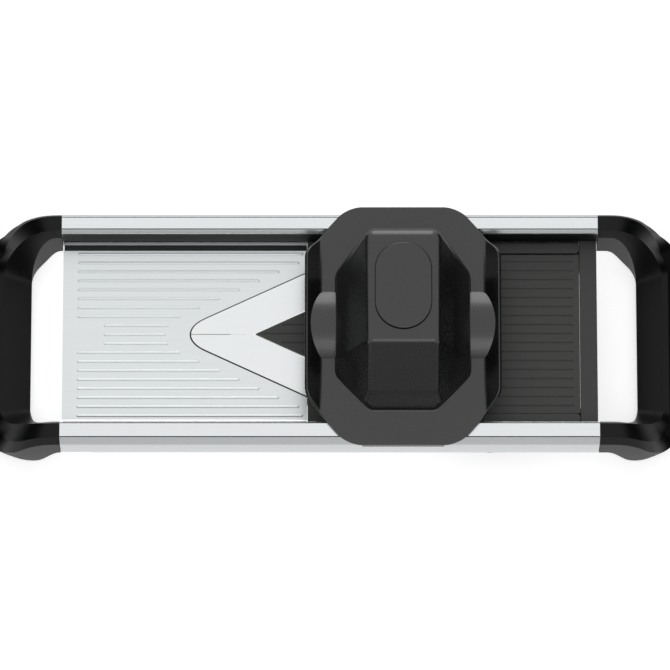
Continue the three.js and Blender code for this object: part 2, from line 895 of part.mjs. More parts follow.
// Dial outside the rear rail, with a waved rim and a finger grip across it
function dialSolid() {
  const points = [];
  const count = dialWaves * dialWaveSteps;
  for (let step = 0; step < count; step += 1) {
    const angle = (2 * Math.PI * step) / count;
    const radius = dialRadius + dialWaveHeight * Math.cos(dialWaves * angle);
    points.push([radius * Math.cos(angle), radius * Math.sin(angle)]);
  }
  const gripEnd = dialRadius * gripShare;
  const disc = prism('y', rounded(points), [dialInner, dialOuter]);
  const grip = block(
    [-gripWidth / 2, gripWidth / 2],
    [dialOuter - dialThickness / 2, dialOuter + gripHeight],
    [-gripEnd, gripEnd],
  );
  const screwHole = rod('y', smallScrewRadius + gap, [dialInner - overrun, dialOuter + overrun], {});
  const headSeat = dialOuter + gripHeight - dialScrewHeadHeight - gap;
  const headHole = rod('y', dialScrewHeadRadius + gap, [headSeat, dialOuter + overrun], {});
  return without(joined(disc, grip), screwHole, headHole);
}

function dialScrewSolid() {
  const top = dialOuter + gripHeight;
  const head = rod('y', dialScrewHeadRadius, [top - dialScrewHeadHeight, top], {});
  const shank = rod('y', smallScrewRadius, [dialInner - gap - smallScrewLength, top - gap], {});
  return joined(head, shank);
}

function cheekScrewPlaces() {
  return [cheekStart + cheekScrewInset, cheekFlangeEnd - cheekScrewInset];
}

// Cheek under a rail, drawn for the rear: shaft bearing, guide slots and screw flange
function cheekSolid() {
  const flangeTopHeight = railBottom - gap;
  const body = block([cheekStart, cheekEnd], [cheekInner, railInner], [cheekBottom, cheekTop]);
  const flange = block(
    [cheekStart, cheekFlangeEnd],
    [railInner - overrun, cheekFlangeOuter],
    [flangeTopHeight - cheekFlange, flangeTopHeight],
  );
  const joint = block(
    [cheekStart, cheekFlangeEnd],
    [railInner - overrun, railInner + railWall],
    [cheekBottom, flangeTopHeight],
  );
  const boss = block(
    [shaftPlace - bossHalf, shaftPlace + bossHalf],
    [railInner, cheekFlangeOuter],
    [cheekBottom, flangeTopHeight],
  );
  const bore = rod('y', shaftRadius + gap, [cheekInner - overrun, cheekFlangeOuter + overrun], {
    x: shaftPlace,
    z: shaftHeight,
  });
  const slots = [legInnerPlace, legOuterPlace].map((x) =>
    block(
      [x - legWidth / 2 - slotGap, x + legWidth / 2 + slotGap],
      [plateHalfWidth - legThickness - slotGap, plateHalfWidth + slotGap],
      [cheekBottom - overrun, cheekTop + overrun],
    ),
  );
  return without(joined(body, flange, joint, boss), bore, slots, cheekScrewPlaces().map(cheekScrewHole));
}

function cheekScrewHole(x) {
  return rod('z', screwRadius + gap, [cheekBottom, railBottom + overrun], { x, y: railMiddle });
}

// Guard shell: a plate that turns up at both ends, finger humps and a faceted hollow dome
function guardPlan() {
  return rounded([
    [-guardStraightSide, -guardHalfWidth, guardSideRadius],
    [guardStraightSide, -guardHalfWidth, guardSideRadius],
    [guardHalfLength, -guardStraightEnd, guardEndRadius],
    [guardHalfLength, guardStraightEnd, guardEndRadius],
    [guardStraightSide, guardHalfWidth, guardSideRadius],
    [-guardStraightSide, guardHalfWidth, guardSideRadius],
    [-guardHalfLength, guardStraightEnd, guardEndRadius],
    [-guardHalfLength, -guardStraightEnd, guardEndRadius],
  ]);
}

// Section of the plate with its sloping ends, filled up to its top: the plate itself or what it holds
function trough(inset, bottom, top) {
  const edge = guardHalfLength - inset * Math.sin(upturnAngle);
  const edgeHeight = upturnHeight - (guardSheet - inset) * Math.cos(upturnAngle);
  const foot = edge - (edgeHeight - bottom) / Math.tan(upturnAngle);
  const lean = inset === 0 ? -Math.tan(upturnAngle) : 1 / Math.tan(upturnAngle);
  const right = [
    [foot, bottom, upturnBend + guardSheet - inset],
    [edge, edgeHeight],
    [edge + (top - edgeHeight) * lean, top],
  ];
  const outline = rounded([...mirrored(right), ...right]);
  return prism('y', outline, [-guardHalfWidth, guardHalfWidth]);
}

function hump(inset, bottom) {
  const radius = (earHalfWidth ** 2 + earHeight ** 2) / (2 * earHeight);
  const spread = Math.asin(earHalfWidth / radius);
  const points = [];
  for (let step = 0; step <= earSteps; step += 1) {
    const angle = spread - (2 * spread * step) / earSteps;
    points.push([
      (radius - inset) * Math.sin(angle),
      flangeTop + earHeight - radius + (radius - inset) * Math.cos(angle),
    ]);
  }
  return [...points, [points.at(-1)[0], bottom], [points[0][0], bottom]].reverse();
}

function domeSolid(inset, bottom) {
  const top = domeTop;
  const plan = drawnIn([
    [domeCornerLength, -domeHalfWidth, domeCornerRadius],
    [domeHalfLength, -domeCornerWidth, domeCornerRadius],
    [domeHalfLength, domeCornerWidth, domeCornerRadius],
    [domeCornerLength, domeHalfWidth, domeCornerRadius],
    [-domeCornerLength, domeHalfWidth, domeCornerRadius],
    [-domeHalfLength, domeCornerWidth, domeCornerRadius],
    [-domeHalfLength, -domeCornerWidth, domeCornerRadius],
    [-domeCornerLength, -domeHalfWidth, domeCornerRadius],
  ], inset);
  const low = bottom - inset;
  const lengthwise = drawnIn([
    [-domeHalfLength, low],
    [domeHalfLength, low],
    [domeHalfLength, flangeTop + domeSideHeight, domeEdgeRadius],
    [domeTopHalfLength, top, domeEdgeRadius],
    [-domeTopHalfLength, top, domeEdgeRadius],
    [-domeHalfLength, flangeTop + domeSideHeight, domeEdgeRadius],
  ], inset);
  const crosswise = drawnIn([
    [-domeHalfWidth, low],
    [domeHalfWidth, low],
    [domeHalfWidth, flangeTop],
    [domeHalfWidth - domeBackLean, top, domeBackRadius],
    [-domeCreasePlace, top, domeEdgeRadius],
    [-domeShoulderPlace, flangeTop + domeShoulderHeight, domeEdgeRadius],
    [-domeHalfWidth, flangeTop],
  ], inset);
  const along = domeHalfLength + overrun;
  const across = domeHalfWidth + overrun;
  const dome = common(
    prism('z', rounded(plan), [bottom, top + overrun]),
    prism('y', rounded(lengthwise), [-across, across]),
    prism('x', rounded(crosswise), [-along, along]),
  );
  return [1, -1].reduce((rest, side) => {
    const facet = domeFacet(side);
    return rest.trimByPlane(facet.normal.toArray(), inset - facet.constant);
  }, dome);
}

// Plane of a front facet of the dome, facing inwards: from the end of the crease to the foot's corner
function domeFacet(side) {
  const corners = [
    new THREE.Vector3(side * domeTopHalfLength, -domeCreasePlace, domeTop),
    new THREE.Vector3(side * domeTopHalfLength, -domeShoulderPlace, flangeTop + domeShoulderHeight),
    new THREE.Vector3(side * domeHalfLength, -domeCornerWidth, flangeTop),
  ];
  if (side > 0) corners.reverse();
  return new THREE.Plane().setFromCoplanarPoints(...corners);
}

function buttonOutline(grow) {
  return oval(buttonHalfWidth, buttonHalfLength, buttonPlace, grow);
}

function guardSolid() {
  const collarBottom = -collarDrop;
  const plate = without(
    trough(0, flangeBottom, upturnHeight),
    trough(guardSheet, flangeTop, upturnHeight + overrun),
  );
  const planPrism = prism('z', guardPlan(), [flangeBottom - overrun, upturnHeight + overrun]);
  const ears = common(
    prism('x', rounded(hump(0, flangeBottom)), [-guardHalfLength, guardHalfLength]),
    trough(0, flangeBottom, upturnHeight),
  );
  const lips = onBothSides((side) =>
    block(
      [-lipHalfLength, lipHalfLength],
      span(side, guardHalfWidth - lipThickness, guardHalfWidth),
      [-lipDrop, flangeTop - guardSheet / 2],
    ),
  );
  const earHollows = onBothSides((side) =>
    prism(
      'x',
      rounded(hump(guardSheet, flangeBottom - overrun)),
      span(side, domeHalfLength, upturnFoot - upturnBend / 2),
    ),
  );
  const shell = without(
    joined(common(joined(plate, ears), planPrism), lips, domeSolid(0, collarBottom)),
    domeSolid(domeWall, collarBottom - overrun),
    earHollows,
  );
  const bodyGrow = buttonSlack - buttonSeat;
  const sleeveTop = domeTop - domeWall / 2;
  const sleeveBottom = domeTop - domeWall - sleeveDrop;
  const sleeve = prism('z', buttonOutline(bodyGrow + sleeveWall), [sleeveBottom, sleeveTop]);
  const seat = buttonSeatHeight - gap;
  return without(
    joined(shell, sleeve),
    prism('z', buttonOutline(bodyGrow), [sleeveBottom - overrun, domeTop + overrun]),
    prism('z', buttonOutline(buttonSlack), [seat, domeTop + overrun]),
  );
}

// Piston: a rimmed oval button on a hollow body, with a boss for the pusher screw
function pistonSolid() {
  const rim = prism('z', buttonOutline(0), [buttonSeatHeight, buttonTop], buttonSeat);
  const body = prism('z', buttonOutline(-buttonSeat), [-pistonBottom, buttonSeatHeight + buttonSeat]);
  const inside = prism('z', buttonOutline(-buttonSeat - pistonWall), [
    -pistonBottom - overrun,
    buttonSeatHeight,
  ]);
  const boss = rod('z', bossRadius, [-pistonBottom, buttonSeatHeight + gap], { y: buttonPlace });
  const hole = rod('z', screwRadius + gap, [-pistonBottom - overrun, screwLength], { y: buttonPlace });
  return without(joined(without(joined(rim, body), inside), boss), hole);
}

function pusherOutline(inset) {
  const half = pusherHalfWidth - inset;
  const low = buttonPlace - pusherHalfLength + inset;
  const high = buttonPlace + pusherHalfLength - inset;
  const radius = pusherRadius - inset;
  return rounded([
    [-half, low, radius],
    [half, low, radius],
    [half, high, radius],
    [-half, high, radius],
  ]);
}

function pusherPlateSolid() {
  const plate = prism('z', pusherOutline(0), [pusherTop - pusherThickness, pusherTop]);
  const hole = rod('z', screwRadius + gap, [combTop, pusherTop + overrun], { y: buttonPlace });
  return without(plate, hole);
}

function combSolid() {
  const bottom = combTop - combThickness;
  const base = prism('z', pusherOutline(combInset), [bottom, combTop]);
  const hole = rod('z', screwRadius + gap, [bottom - overrun, combTop + overrun], { y: buttonPlace });
  const prongs = [];
  for (const column of [-1, 0, 1]) {
    for (let row = 0; row < prongRows; row += 1) {
      const y = buttonPlace + (row - (prongRows - 1) / 2) * prongRowPitch;
      if (column === 0 && y === buttonPlace) continue;
      const place = { x: column * prongColumnPitch, y };
      const reach = [bottom - prongLength, bottom + combThickness / 2];
      prongs.push(rod('z', prongTipRadius, reach, place, prongRadius, prongSides));
    }
  }
  return joined(without(base, hole), prongs);
}

const steel = { color: 0xdfe3e4, roughness: 0.28, metalness: 1 };
const aluminium = { color: 0xe8eaec, roughness: 0.22, metalness: 1 };
const blackPlastic = { color: 0x1b1c1c, roughness: 0.42, metalness: 0 };
const platePlastic = { color: 0x2c2e2b, roughness: 0.5, metalness: 0 };
const rubber = { color: 0x101010, roughness: 0.85, metalness: 0 };

function mesh(name, solid, finish) {
  const made = new THREE.Mesh(geometryOf(solid), new THREE.MeshStandardMaterial(finish));
  made.name = name;
  return made;
}

const slicer = new THREE.Group();

// Frame: rails, handles, feet and their screws
slicer.add(mesh('rail_rear', railSolid(false), aluminium));
const frontRail = mesh('rail_front', railSolid(true), aluminium);
frontRail.scale.y = -1;
slicer.add(frontRail);

const handles = [
  { name: 'left', straight: leftStraight, reach: leftReach, end: railStart, out: -1 },
  { name: 'right', straight: rightStraight, reach: rightReach, end: railEnd, out: 1 },
];
for (const handle of handles) {
  const made = mesh(`handle_${handle.name}`, handleSolid(handle), blackPlastic);
  made.position.x = handle.end + handle.out * gap;
  made.scale.x = handle.out;
  slicer.add(made);
  for (const [place, side] of [['rear', 1], ['front', -1]]) {
    const pad = mesh(`foot_pad_${handle.name}_${place}`, padSolid(), rubber);
    pad.position.set(
      handle.end + handle.out * (gap + handle.straight + heelPlace),
      side * railMiddle,
      0,
    );
    const screwSolid = panScrew(screwRadius, screwHeadRadius, screwHeadHeight, screwLength);
    const screw = mesh(`handle_screw_${handle.name}_${place}`, screwSolid, steel);
    screw.position.set(
      handle.end - handle.out * handleScrewInset,
      side * railMiddle,
      railBottom - gap,
    );
    slicer.add(pad, screw);
  }
}

// Cutting bed: deck, blades, carrier and bridge
slicer.add(
  mesh('run_out_deck', deckSolid(), steel),
  mesh('deck_crossbar', crossbarSolid(), steel),
  mesh('blade_rear', bladeSolid(), steel),
  mesh('blade_carrier', carrierSolid(), platePlastic),
  mesh('end_bridge', bridgeSolid(), platePlastic),
);
const frontBlade = mesh('blade_front', bladeSolid(), steel);
frontBlade.scale.y = -1;
slicer.add(frontBlade);

const ledgeScrewNames = ['carrier_screw_inner', 'carrier_screw_outer', 'bridge_screw'];
ledgeScrewPlaces().forEach((x, place) => {
  for (const [name, side] of [['rear', 1], ['front', -1]]) {
    const solid = panScrew(
      smallScrewRadius,
      smallScrewHeadRadius,
      smallScrewHeadHeight,
      smallScrewLength,
    );
    const screw = mesh(`${ledgeScrewNames[place]}_${name}`, solid, steel);
    screw.position.set(x, side * ledgeMiddle, ledgeTop - ledgeThickness - gap);
    slicer.add(screw);
  }
});

// Thickness mechanism: plate, shaft, cams, dial and the cheeks that carry them
slicer.add(mesh('run_in_plate', plateSolid(), platePlastic));
const camGroup = new THREE.Group();
camGroup.position.set(shaftPlace, 0, shaftHeight);
camGroup.add(
  mesh('cam_shaft', shaftSolid(), steel),
  mesh('thickness_dial', dialSolid(), blackPlastic),
  mesh('dial_screw', dialScrewSolid(), steel),
);
for (const [name, side] of [['rear', 1], ['front', -1]]) {
  const cam = mesh(`cam_${name}`, camSolid(), platePlastic);
  cam.position.y = side * camPlace;
  camGroup.add(cam);
  const cheek = mesh(`cheek_${name}`, cheekSolid(), platePlastic);
  cheek.scale.y = side;
  slicer.add(cheek);
  cheekScrewPlaces().forEach((x, place) => {
    const solid = panScrew(screwRadius, screwHeadRadius, screwHeadHeight, screwLength);
    const screw = mesh(`cheek_screw_${name}_${place + 1}`, solid, steel);
    screw.position.set(x, side * railMiddle, railBottom - cheekFlange - 2 * gap);
    slicer.add(screw);
  });
}
slicer.add(camGroup);

// Food guard and its pusher
const guard = new THREE.Group();
guard.position.set(guardPlace, 0, railTop);
const pusherScrew = panScrew(screwRadius, screwHeadRadius, screwHeadHeight, screwLength);
const screwInComb = mesh('pusher_screw', pusherScrew, steel);
screwInComb.position.set(0, buttonPlace, combTop - combThickness - gap);
guard.add(
  mesh('guard_shell', guardSolid(), blackPlastic),
  mesh('pusher_piston', pistonSolid(), blackPlastic),
  mesh('pusher_plate', pusherPlateSolid(), blackPlastic),
  mesh('prong_comb', combSolid(), steel),
  screwInComb,
);
slicer.add(guard);

export default slicer;
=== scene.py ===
import json
import math

import bmesh
import bpy
from mathutils import Matrix, Vector


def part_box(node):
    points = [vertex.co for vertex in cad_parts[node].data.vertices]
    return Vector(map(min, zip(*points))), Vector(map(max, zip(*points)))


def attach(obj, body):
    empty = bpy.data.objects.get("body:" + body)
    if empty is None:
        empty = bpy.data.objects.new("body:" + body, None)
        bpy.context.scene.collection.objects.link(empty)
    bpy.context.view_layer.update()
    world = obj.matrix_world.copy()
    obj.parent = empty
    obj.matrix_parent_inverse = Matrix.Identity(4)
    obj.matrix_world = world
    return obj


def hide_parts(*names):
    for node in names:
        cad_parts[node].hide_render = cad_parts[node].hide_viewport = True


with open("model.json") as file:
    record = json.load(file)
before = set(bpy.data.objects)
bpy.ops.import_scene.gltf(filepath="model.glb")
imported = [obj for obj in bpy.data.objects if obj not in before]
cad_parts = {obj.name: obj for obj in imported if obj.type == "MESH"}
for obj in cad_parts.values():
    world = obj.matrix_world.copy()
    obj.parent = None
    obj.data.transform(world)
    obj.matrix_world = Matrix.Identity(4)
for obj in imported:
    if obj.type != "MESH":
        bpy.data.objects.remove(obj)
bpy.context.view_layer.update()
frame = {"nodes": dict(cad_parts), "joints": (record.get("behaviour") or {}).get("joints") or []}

# Camera: a long lens high over the front of the slicer, tilted 15 degrees from upright.
# It sees 392 mm of width at the height of the rail tops.
MM = 0.001
RAIL_TOP = 50
CAMERA_TILT = math.radians(15)
CAMERA_DISTANCE = 3600
SENSOR_WIDTH = 36
VIEW_WIDTH = 392
VIEW_MIDDLE = (1.57, -5.27)


def placed(name, data):
    """A new object in the scene with a mesh, a lamp or a camera as its data."""
    made = bpy.data.objects.new(name, data)
    bpy.context.scene.collection.objects.link(made)
    return made


camera_data = bpy.data.cameras.new("camera")
camera_data.sensor_width = SENSOR_WIDTH
camera_data.lens = SENSOR_WIDTH * CAMERA_DISTANCE / VIEW_WIDTH
camera = placed("camera", camera_data)
view_back = Vector((0, -math.sin(CAMERA_TILT), math.cos(CAMERA_TILT)))
camera.location = (Vector((*VIEW_MIDDLE, RAIL_TOP)) + view_back * CAMERA_DISTANCE) * MM
camera.rotation_euler = (CAMERA_TILT, 0, 0)
bpy.context.scene.camera = camera

# Studio: a white painted floor, a soft lamp high in front and a stronger one low behind. Cards
# that show only in gloss stand or lie around the slicer: the black ones keep the sides of its
# black mouldings dark, and the grey and pale ones give the metal its tones.
FLOOR_HALF = 6
FLOOR_GLOW = 0.62
ROOM_LIGHT = 0.55
CARD_THICKNESS = 0.001


def linear(colour):
    """The linear RGBA of an sRGB hex colour."""
    channels = [int(colour[place:place + 2], 16) / 255 for place in (1, 3, 5)]
    return [c / 12.92 if c <= 0.04045 else ((c + 0.055) / 1.055) ** 2.4 for c in channels] + [1]


def add_node(tree, kind, inputs=None, **settings):
    """A shader node with its settings, and with its sockets set or linked."""
    made = tree.nodes.new(kind)
    for name, value in settings.items():
        setattr(made, name, value)
    for socket, value in (inputs or {}).items():
        if isinstance(value, bpy.types.NodeSocket):
            tree.links.new(value, made.inputs[socket])
        else:
            made.inputs[socket].default_value = value
    return made


def new_material(name):
    """An empty node material and its tree."""
    material = bpy.data.materials.new(name)
    material.use_nodes = True
    material.node_tree.nodes.clear()
    return material, material.node_tree


def seen_as_backdrop(tree):
    """1 for the rays on which the backdrop shows white: to the camera, in gloss and through glass."""
    rays = add_node(tree, "ShaderNodeLightPath").outputs
    either = add_node(tree, "ShaderNodeMath", {
        0: rays["Is Camera Ray"], 1: rays["Is Glossy Ray"]}, operation="MAXIMUM")
    return add_node(tree, "ShaderNodeMath", {
        0: either.outputs[0], 1: rays["Is Transmission Ray"]}, operation="MAXIMUM").outputs[0]


def mesh_of(shape, name):
    """The mesh of a shape, which is used up."""
    mesh = bpy.data.meshes.new(name)
    shape.to_mesh(mesh)
    shape.free()
    return mesh


floor_shape = bmesh.new()
bmesh.ops.create_grid(floor_shape, x_segments=1, y_segments=1, size=FLOOR_HALF)
floor = placed("floor", mesh_of(floor_shape, "floor"))
white = linear("#ffffff")
painted_floor, tree = new_material("matt_white_painted_floor")
paint = add_node(tree, "ShaderNodeBsdfDiffuse", {"Color": linear("#f0f0f0")})
glow = add_node(tree, "ShaderNodeEmission", {"Color": white, "Strength": FLOOR_GLOW})
lift = add_node(tree, "ShaderNodeMixShader", {0: seen_as_backdrop(tree), 2: glow.outputs[0]})
both = add_node(tree, "ShaderNodeAddShader", {0: paint.outputs[0], 1: lift.outputs[0]})
add_node(tree, "ShaderNodeOutputMaterial", {"Surface": both.outputs[0]})
floor.data.materials.append(painted_floor)

studio = bpy.data.worlds.new("studio")
bpy.context.scene.world = studio
studio.use_nodes = True
tree = studio.node_tree
tree.nodes.clear()
room = add_node(tree, "ShaderNodeBackground", {"Color": white, "Strength": ROOM_LIGHT})
backdrop = add_node(tree, "ShaderNodeBackground", {"Color": white, "Strength": 1})
either = add_node(tree, "ShaderNodeMixShader", {
    0: seen_as_backdrop(tree), 1: room.outputs[0], 2: backdrop.outputs[0]})
add_node(tree, "ShaderNodeOutputWorld", {"Surface": either.outputs[0]})
bpy.context.scene.view_settings.view_transform = "Standard"

for lamp_name, lamp_place, lamp_size, watts in (
    ("lamp_rear", (-0.1, 1.9, 0.6), 1.2, 9),
    ("lamp_front", (0.3, -1.1, 2.0), 0.9, 3),
):
    lamp_data = bpy.data.lights.new(lamp_name, "AREA")
    lamp_data.shape = "SQUARE"
    lamp_data.size = lamp_size
    lamp_data.energy = watts
    lamp = placed(lamp_name, lamp_data)
    lamp.location = lamp_place
    lamp.rotation_euler = (-Vector(lamp_place)).to_track_quat("-Z", "Y").to_euler()

card_materials = {}
for card_tone, card_colour in (
    ("black", "#0a0a0a"), ("dull", "#a4a4a4"), ("grey", "#c0c0c0"), ("pale", "#e2e2e2"),
):
    card_materials[card_tone], tree = new_material(card_tone + "_card")
    card_face = add_node(tree, "ShaderNodeEmission", {"Color": linear(card_colour), "Strength": 1})
    add_node(tree, "ShaderNodeOutputMaterial", {"Surface": card_face.outputs[0]})
for card_name, card_place, card_size, card_tone in (
    ("card_left", (-0.235, 0, 0.045), (0, 0.5, 0.09), "black"),
    ("card_right", (0.235, 0, 0.045), (0, 0.5, 0.09), "black"),
    ("card_far_left", (-0.7, 0, 0.12), (0, 1.4, 0.24), "black"),
    ("card_far_right", (0.7, 0, 0.12), (0, 1.4, 0.24), "black"),
    ("card_front", (0, -0.4, 0.065), (0.6, 0, 0.07), "black"),
    ("card_far_front", (0, -0.8, 0.3), (1.4, 0, 0.6), "dull"),
    ("card_flat_foot", (0, -0.1, 0.002), (0.8, 0.05, 0), "pale"),
    ("card_flat_front", (0, -0.265, 0.002), (0.8, 0.28, 0), "grey"),
    ("card_flat_rear", (0, 0.24, 0.002), (0.8, 0.33, 0), "grey"),
):
    card_shape = bmesh.new()
    bmesh.ops.create_cube(card_shape, size=1)
    bmesh.ops.scale(
        card_shape, verts=card_shape.verts[:], vec=[side + CARD_THICKNESS for side in card_size])
    bmesh.ops.translate(card_shape, verts=card_shape.verts[:], vec=card_place)
    card = placed(card_name, mesh_of(card_shape, card_name))
    card.data.materials.append(card_materials[card_tone])
    card.visible_camera = False
    card.visible_diffuse = False
    card.visible_shadow = False

# Rails: two hollow aluminium extrusions with bevelled top edges, thin drawn grooves and a ledge
# inside. They are brush polished lengthwise and sawn off square. The inner bevel of the rear
# rail is flatter than that of the front one.
SIDES = (("rear", 1), ("front", -1))
RAIL_START = -159.0
RAIL_END = 156.0
RAIL_BOTTOM = 22.6
RAIL_OUTER = 69.7
RAIL_INNER = 56.8
RAIL_WALL = 1.6
RAIL_FOOT_BEVEL = 1.5
BEVEL_WIDTH = 2.7
BEVEL_DROP = 7
INNER_BEVELS = {"rear": (2.0, 1.7), "front": (0.9, 7)}
LIP_ROUND = 0.1
SHOULDER_ROUND = 1.2
INNER_SHOULDER_ROUND = 1
FOOT_ROUND = 0.6
FOOT_OUTER_ROUND = 0.8
HOLLOW_ROUND = 0.4
LEDGE_TOP = 27
LEDGE_INNER = 52.8
LEDGE_THICKNESS = 2
LEDGE_ROUND = 0.3
LINE_EDGE = 0.15
LINE_WIDTH = 0.6
LINE_DEPTH = 0.4
NOTCH_LENGTH = 21.4
NOTCH_SLOPE = 5
NOTCH_HEIGHT = 3
NOTCH_FOOT_ROUND = 0.6
NOTCH_TOP_ROUND = 2
OVERRUN = 1
WELD = 0.002
ROUND_FINENESS = 2.2
FEWEST_STEPS = 2
MOST_STEPS = 12


def on_plane(axis, across, up, along):
    """The point of an outline that is drawn across an axis, in metres."""
    spots = {"x": (along, across, up), "y": (across, along, up), "z": (across, up, along)}
    return Vector(spots[axis]) * MM


def add_outline(shape, axis, corners, along):
    """A flat face through corners [across, up, radius]; a radius is bevelled into its corner."""
    count = len(corners)
    spots = [Vector(corner[:2]) for corner in corners]
    verts = [shape.verts.new(on_plane(axis, *spot, along)) for spot in spots]
    shape.faces.new(verts)
    for place, corner in enumerate(corners):
        radius = corner[2] if len(corner) > 2 else 0
        if not radius:
            continue
        to_last = spots[place - 1] - spots[place]
        to_next = spots[(place + 1) % count] - spots[place]
        half = to_last.angle(to_next) / 2
        steps = round((math.pi - 2 * half) * (1 + radius) * ROUND_FINENESS)
        bmesh.ops.bevel(
            shape, geom=[verts[place]], offset=radius / math.tan(half) * MM, offset_type="OFFSET",
            segments=max(FEWEST_STEPS, min(MOST_STEPS, steps)), profile=0.5, affect="VERTICES", material=-1)


def prism(axis, outlines, low, high):
    """A prism through one outline, or with holes through several, from low to high along an axis."""
    shape = bmesh.new()
    for corners in outlines:
        add_outline(shape, axis, corners, low)
    if len(outlines) > 1:
        bmesh.ops.delete(shape, geom=shape.faces[:], context="FACES_ONLY")
        bmesh.ops.triangle_fill(shape, use_beauty=True, use_dissolve=True, edges=shape.edges[:])
    made = bmesh.ops.extrude_face_region(shape, geom=shape.faces[:])
    far_end = [part for part in made["geom"] if isinstance(part, bmesh.types.BMVert)]
    bmesh.ops.translate(shape, verts=far_end, vec=on_plane(axis, 0, 0, high - low))
    bmesh.ops.recalc_face_normals(shape, faces=shape.faces[:])
    return shape


def welded(shape, distance):
    """Makes one vertex of those that lie together."""
    bmesh.ops.remove_doubles(shape, verts=shape.verts[:], dist=distance * MM)
    return shape


def combined(whole, other, operation):
    """A shape joined with another, cut by it or kept inside it."""
    pair = [placed("work", mesh_of(part, "work")) for part in (whole, other)]
    boolean = pair[0].modifiers.new("combine", "BOOLEAN")
    boolean.operation = operation
    boolean.object = pair[1]
    boolean.solver = "EXACT"
    depsgraph = bpy.context.evaluated_depsgraph_get()
    mesh = bpy.data.meshes.new_from_object(pair[0].evaluated_get(depsgraph))
    made = bmesh.new()
    made.from_mesh(mesh)
    for part in pair:
        bpy.data.objects.remove(part)
    bpy.data.meshes.remove(mesh)
    return welded(made, WELD)


def make_piece(shape, name, material, body, nodes, crease=32):
    """A finished piece from a shape: shaded smooth up to the crease angle, riding on its body."""
    mesh = mesh_of(shape, name)
    mesh.shade_smooth()
    mesh.set_sharp_from_angle(angle=math.radians(crease))
    mesh.materials.append(material)
    piece = placed(name, mesh)
    weighted = piece.modifiers.new("even_shading", "WEIGHTED_NORMAL")
    weighted.keep_sharp = True
    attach(piece, body)
    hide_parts(*nodes)


def worked_metal(name, low, high, grain_length, grain_width, detail, least_rough, most_rough):
    """Metal with the fine marks of a belt, a brush, a wheel or a lathe, which vary its tone and
    its gloss a little. They have a length along the slicer and a width, in millimetres."""
    material, tree = new_material(name)
    place = add_node(tree, "ShaderNodeMapping", {
        "Vector": add_node(tree, "ShaderNodeTexCoord").outputs["Object"],
        "Scale": (1 / (grain_length * MM), 1 / (grain_width * MM), 1 / (grain_width * MM))})
    grain = add_node(tree, "ShaderNodeTexNoise", {
        "Vector": place.outputs[0], "Scale": 1, "Detail": detail, "Roughness": 0.5})
    tone = add_node(tree, "ShaderNodeMix", {
        0: grain.outputs[0], 6: linear(low), 7: linear(high)}, data_type="RGBA")
    gloss = add_node(tree, "ShaderNodeMapRange", {
        "Value": grain.outputs[0], "From Min": 0.3, "From Max": 0.7,
        "To Min": least_rough, "To Max": most_rough})
    metal = add_node(tree, "ShaderNodeBsdfPrincipled", {
        "Base Color": tone.outputs[2], "Metallic": 1, "Roughness": gloss.outputs[0]})
    add_node(tree, "ShaderNodeOutputMaterial", {"Surface": metal.outputs[0]})
    return material


# Drawn aluminium, brush polished along its length: bright and nearly grey, with faint parallel
# lines. The real lines are about 0.05 mm apart; they are drawn at 0.25 mm so that they show.
polished_aluminium = worked_metal(
    "brush_polished_aluminium", "#dcdfe1", "#e8eaeb", 120, 0.25, 1, 0.2, 0.25)


def rail_outline(inner_width, inner_drop):
    """A rail's section, drawn for the rear, with the width and the drop of its inner bevel."""
    top = []
    for lip, inward in ((RAIL_OUTER - BEVEL_WIDTH, -1), (RAIL_INNER + inner_width, 1)):
        groove = [lip + inward * LINE_EDGE, lip + inward * (LINE_EDGE + LINE_WIDTH)]
        top += [
            [lip, RAIL_TOP - LIP_ROUND], [groove[0], RAIL_TOP], [groove[0], RAIL_TOP - LINE_DEPTH],
            [groove[1], RAIL_TOP - LINE_DEPTH], [groove[1], RAIL_TOP, LIP_ROUND],
        ][::-inward]
    return [
        [RAIL_INNER, RAIL_BOTTOM, LEDGE_ROUND],
        [RAIL_OUTER - RAIL_FOOT_BEVEL, RAIL_BOTTOM, FOOT_ROUND],
        [RAIL_OUTER, RAIL_BOTTOM + RAIL_FOOT_BEVEL, FOOT_OUTER_ROUND],
        [RAIL_OUTER, RAIL_TOP - BEVEL_DROP, SHOULDER_ROUND],
        *top, [RAIL_INNER, RAIL_TOP - inner_drop, INNER_SHOULDER_ROUND],
        [RAIL_INNER, LEDGE_TOP], [LEDGE_INNER, LEDGE_TOP, LEDGE_ROUND],
        [LEDGE_INNER, LEDGE_TOP - LEDGE_THICKNESS, LEDGE_ROUND],
        [RAIL_INNER, LEDGE_TOP - LEDGE_THICKNESS],
    ]


def rail_hollow(wall):
    """The section of the rail's hollow, or of what fits in it with a thicker wall."""
    return [
        [RAIL_INNER + wall, RAIL_BOTTOM + wall, HOLLOW_ROUND],
        [RAIL_OUTER - wall, RAIL_BOTTOM + wall, HOLLOW_ROUND],
        [RAIL_OUTER - wall, RAIL_TOP - BEVEL_DROP],
        [RAIL_OUTER - BEVEL_WIDTH - wall / 2, RAIL_TOP - wall],
        [RAIL_INNER + BEVEL_WIDTH + wall / 2, RAIL_TOP - wall],
        [RAIL_INNER + wall, RAIL_TOP - BEVEL_DROP],
    ]


def mirror_across(shape):
    """Turns a piece drawn for the rear into the one for the front."""
    bmesh.ops.scale(shape, verts=shape.verts[:], vec=(1, -1, 1))
    bmesh.ops.reverse_faces(shape, faces=shape.faces[:])
    return shape


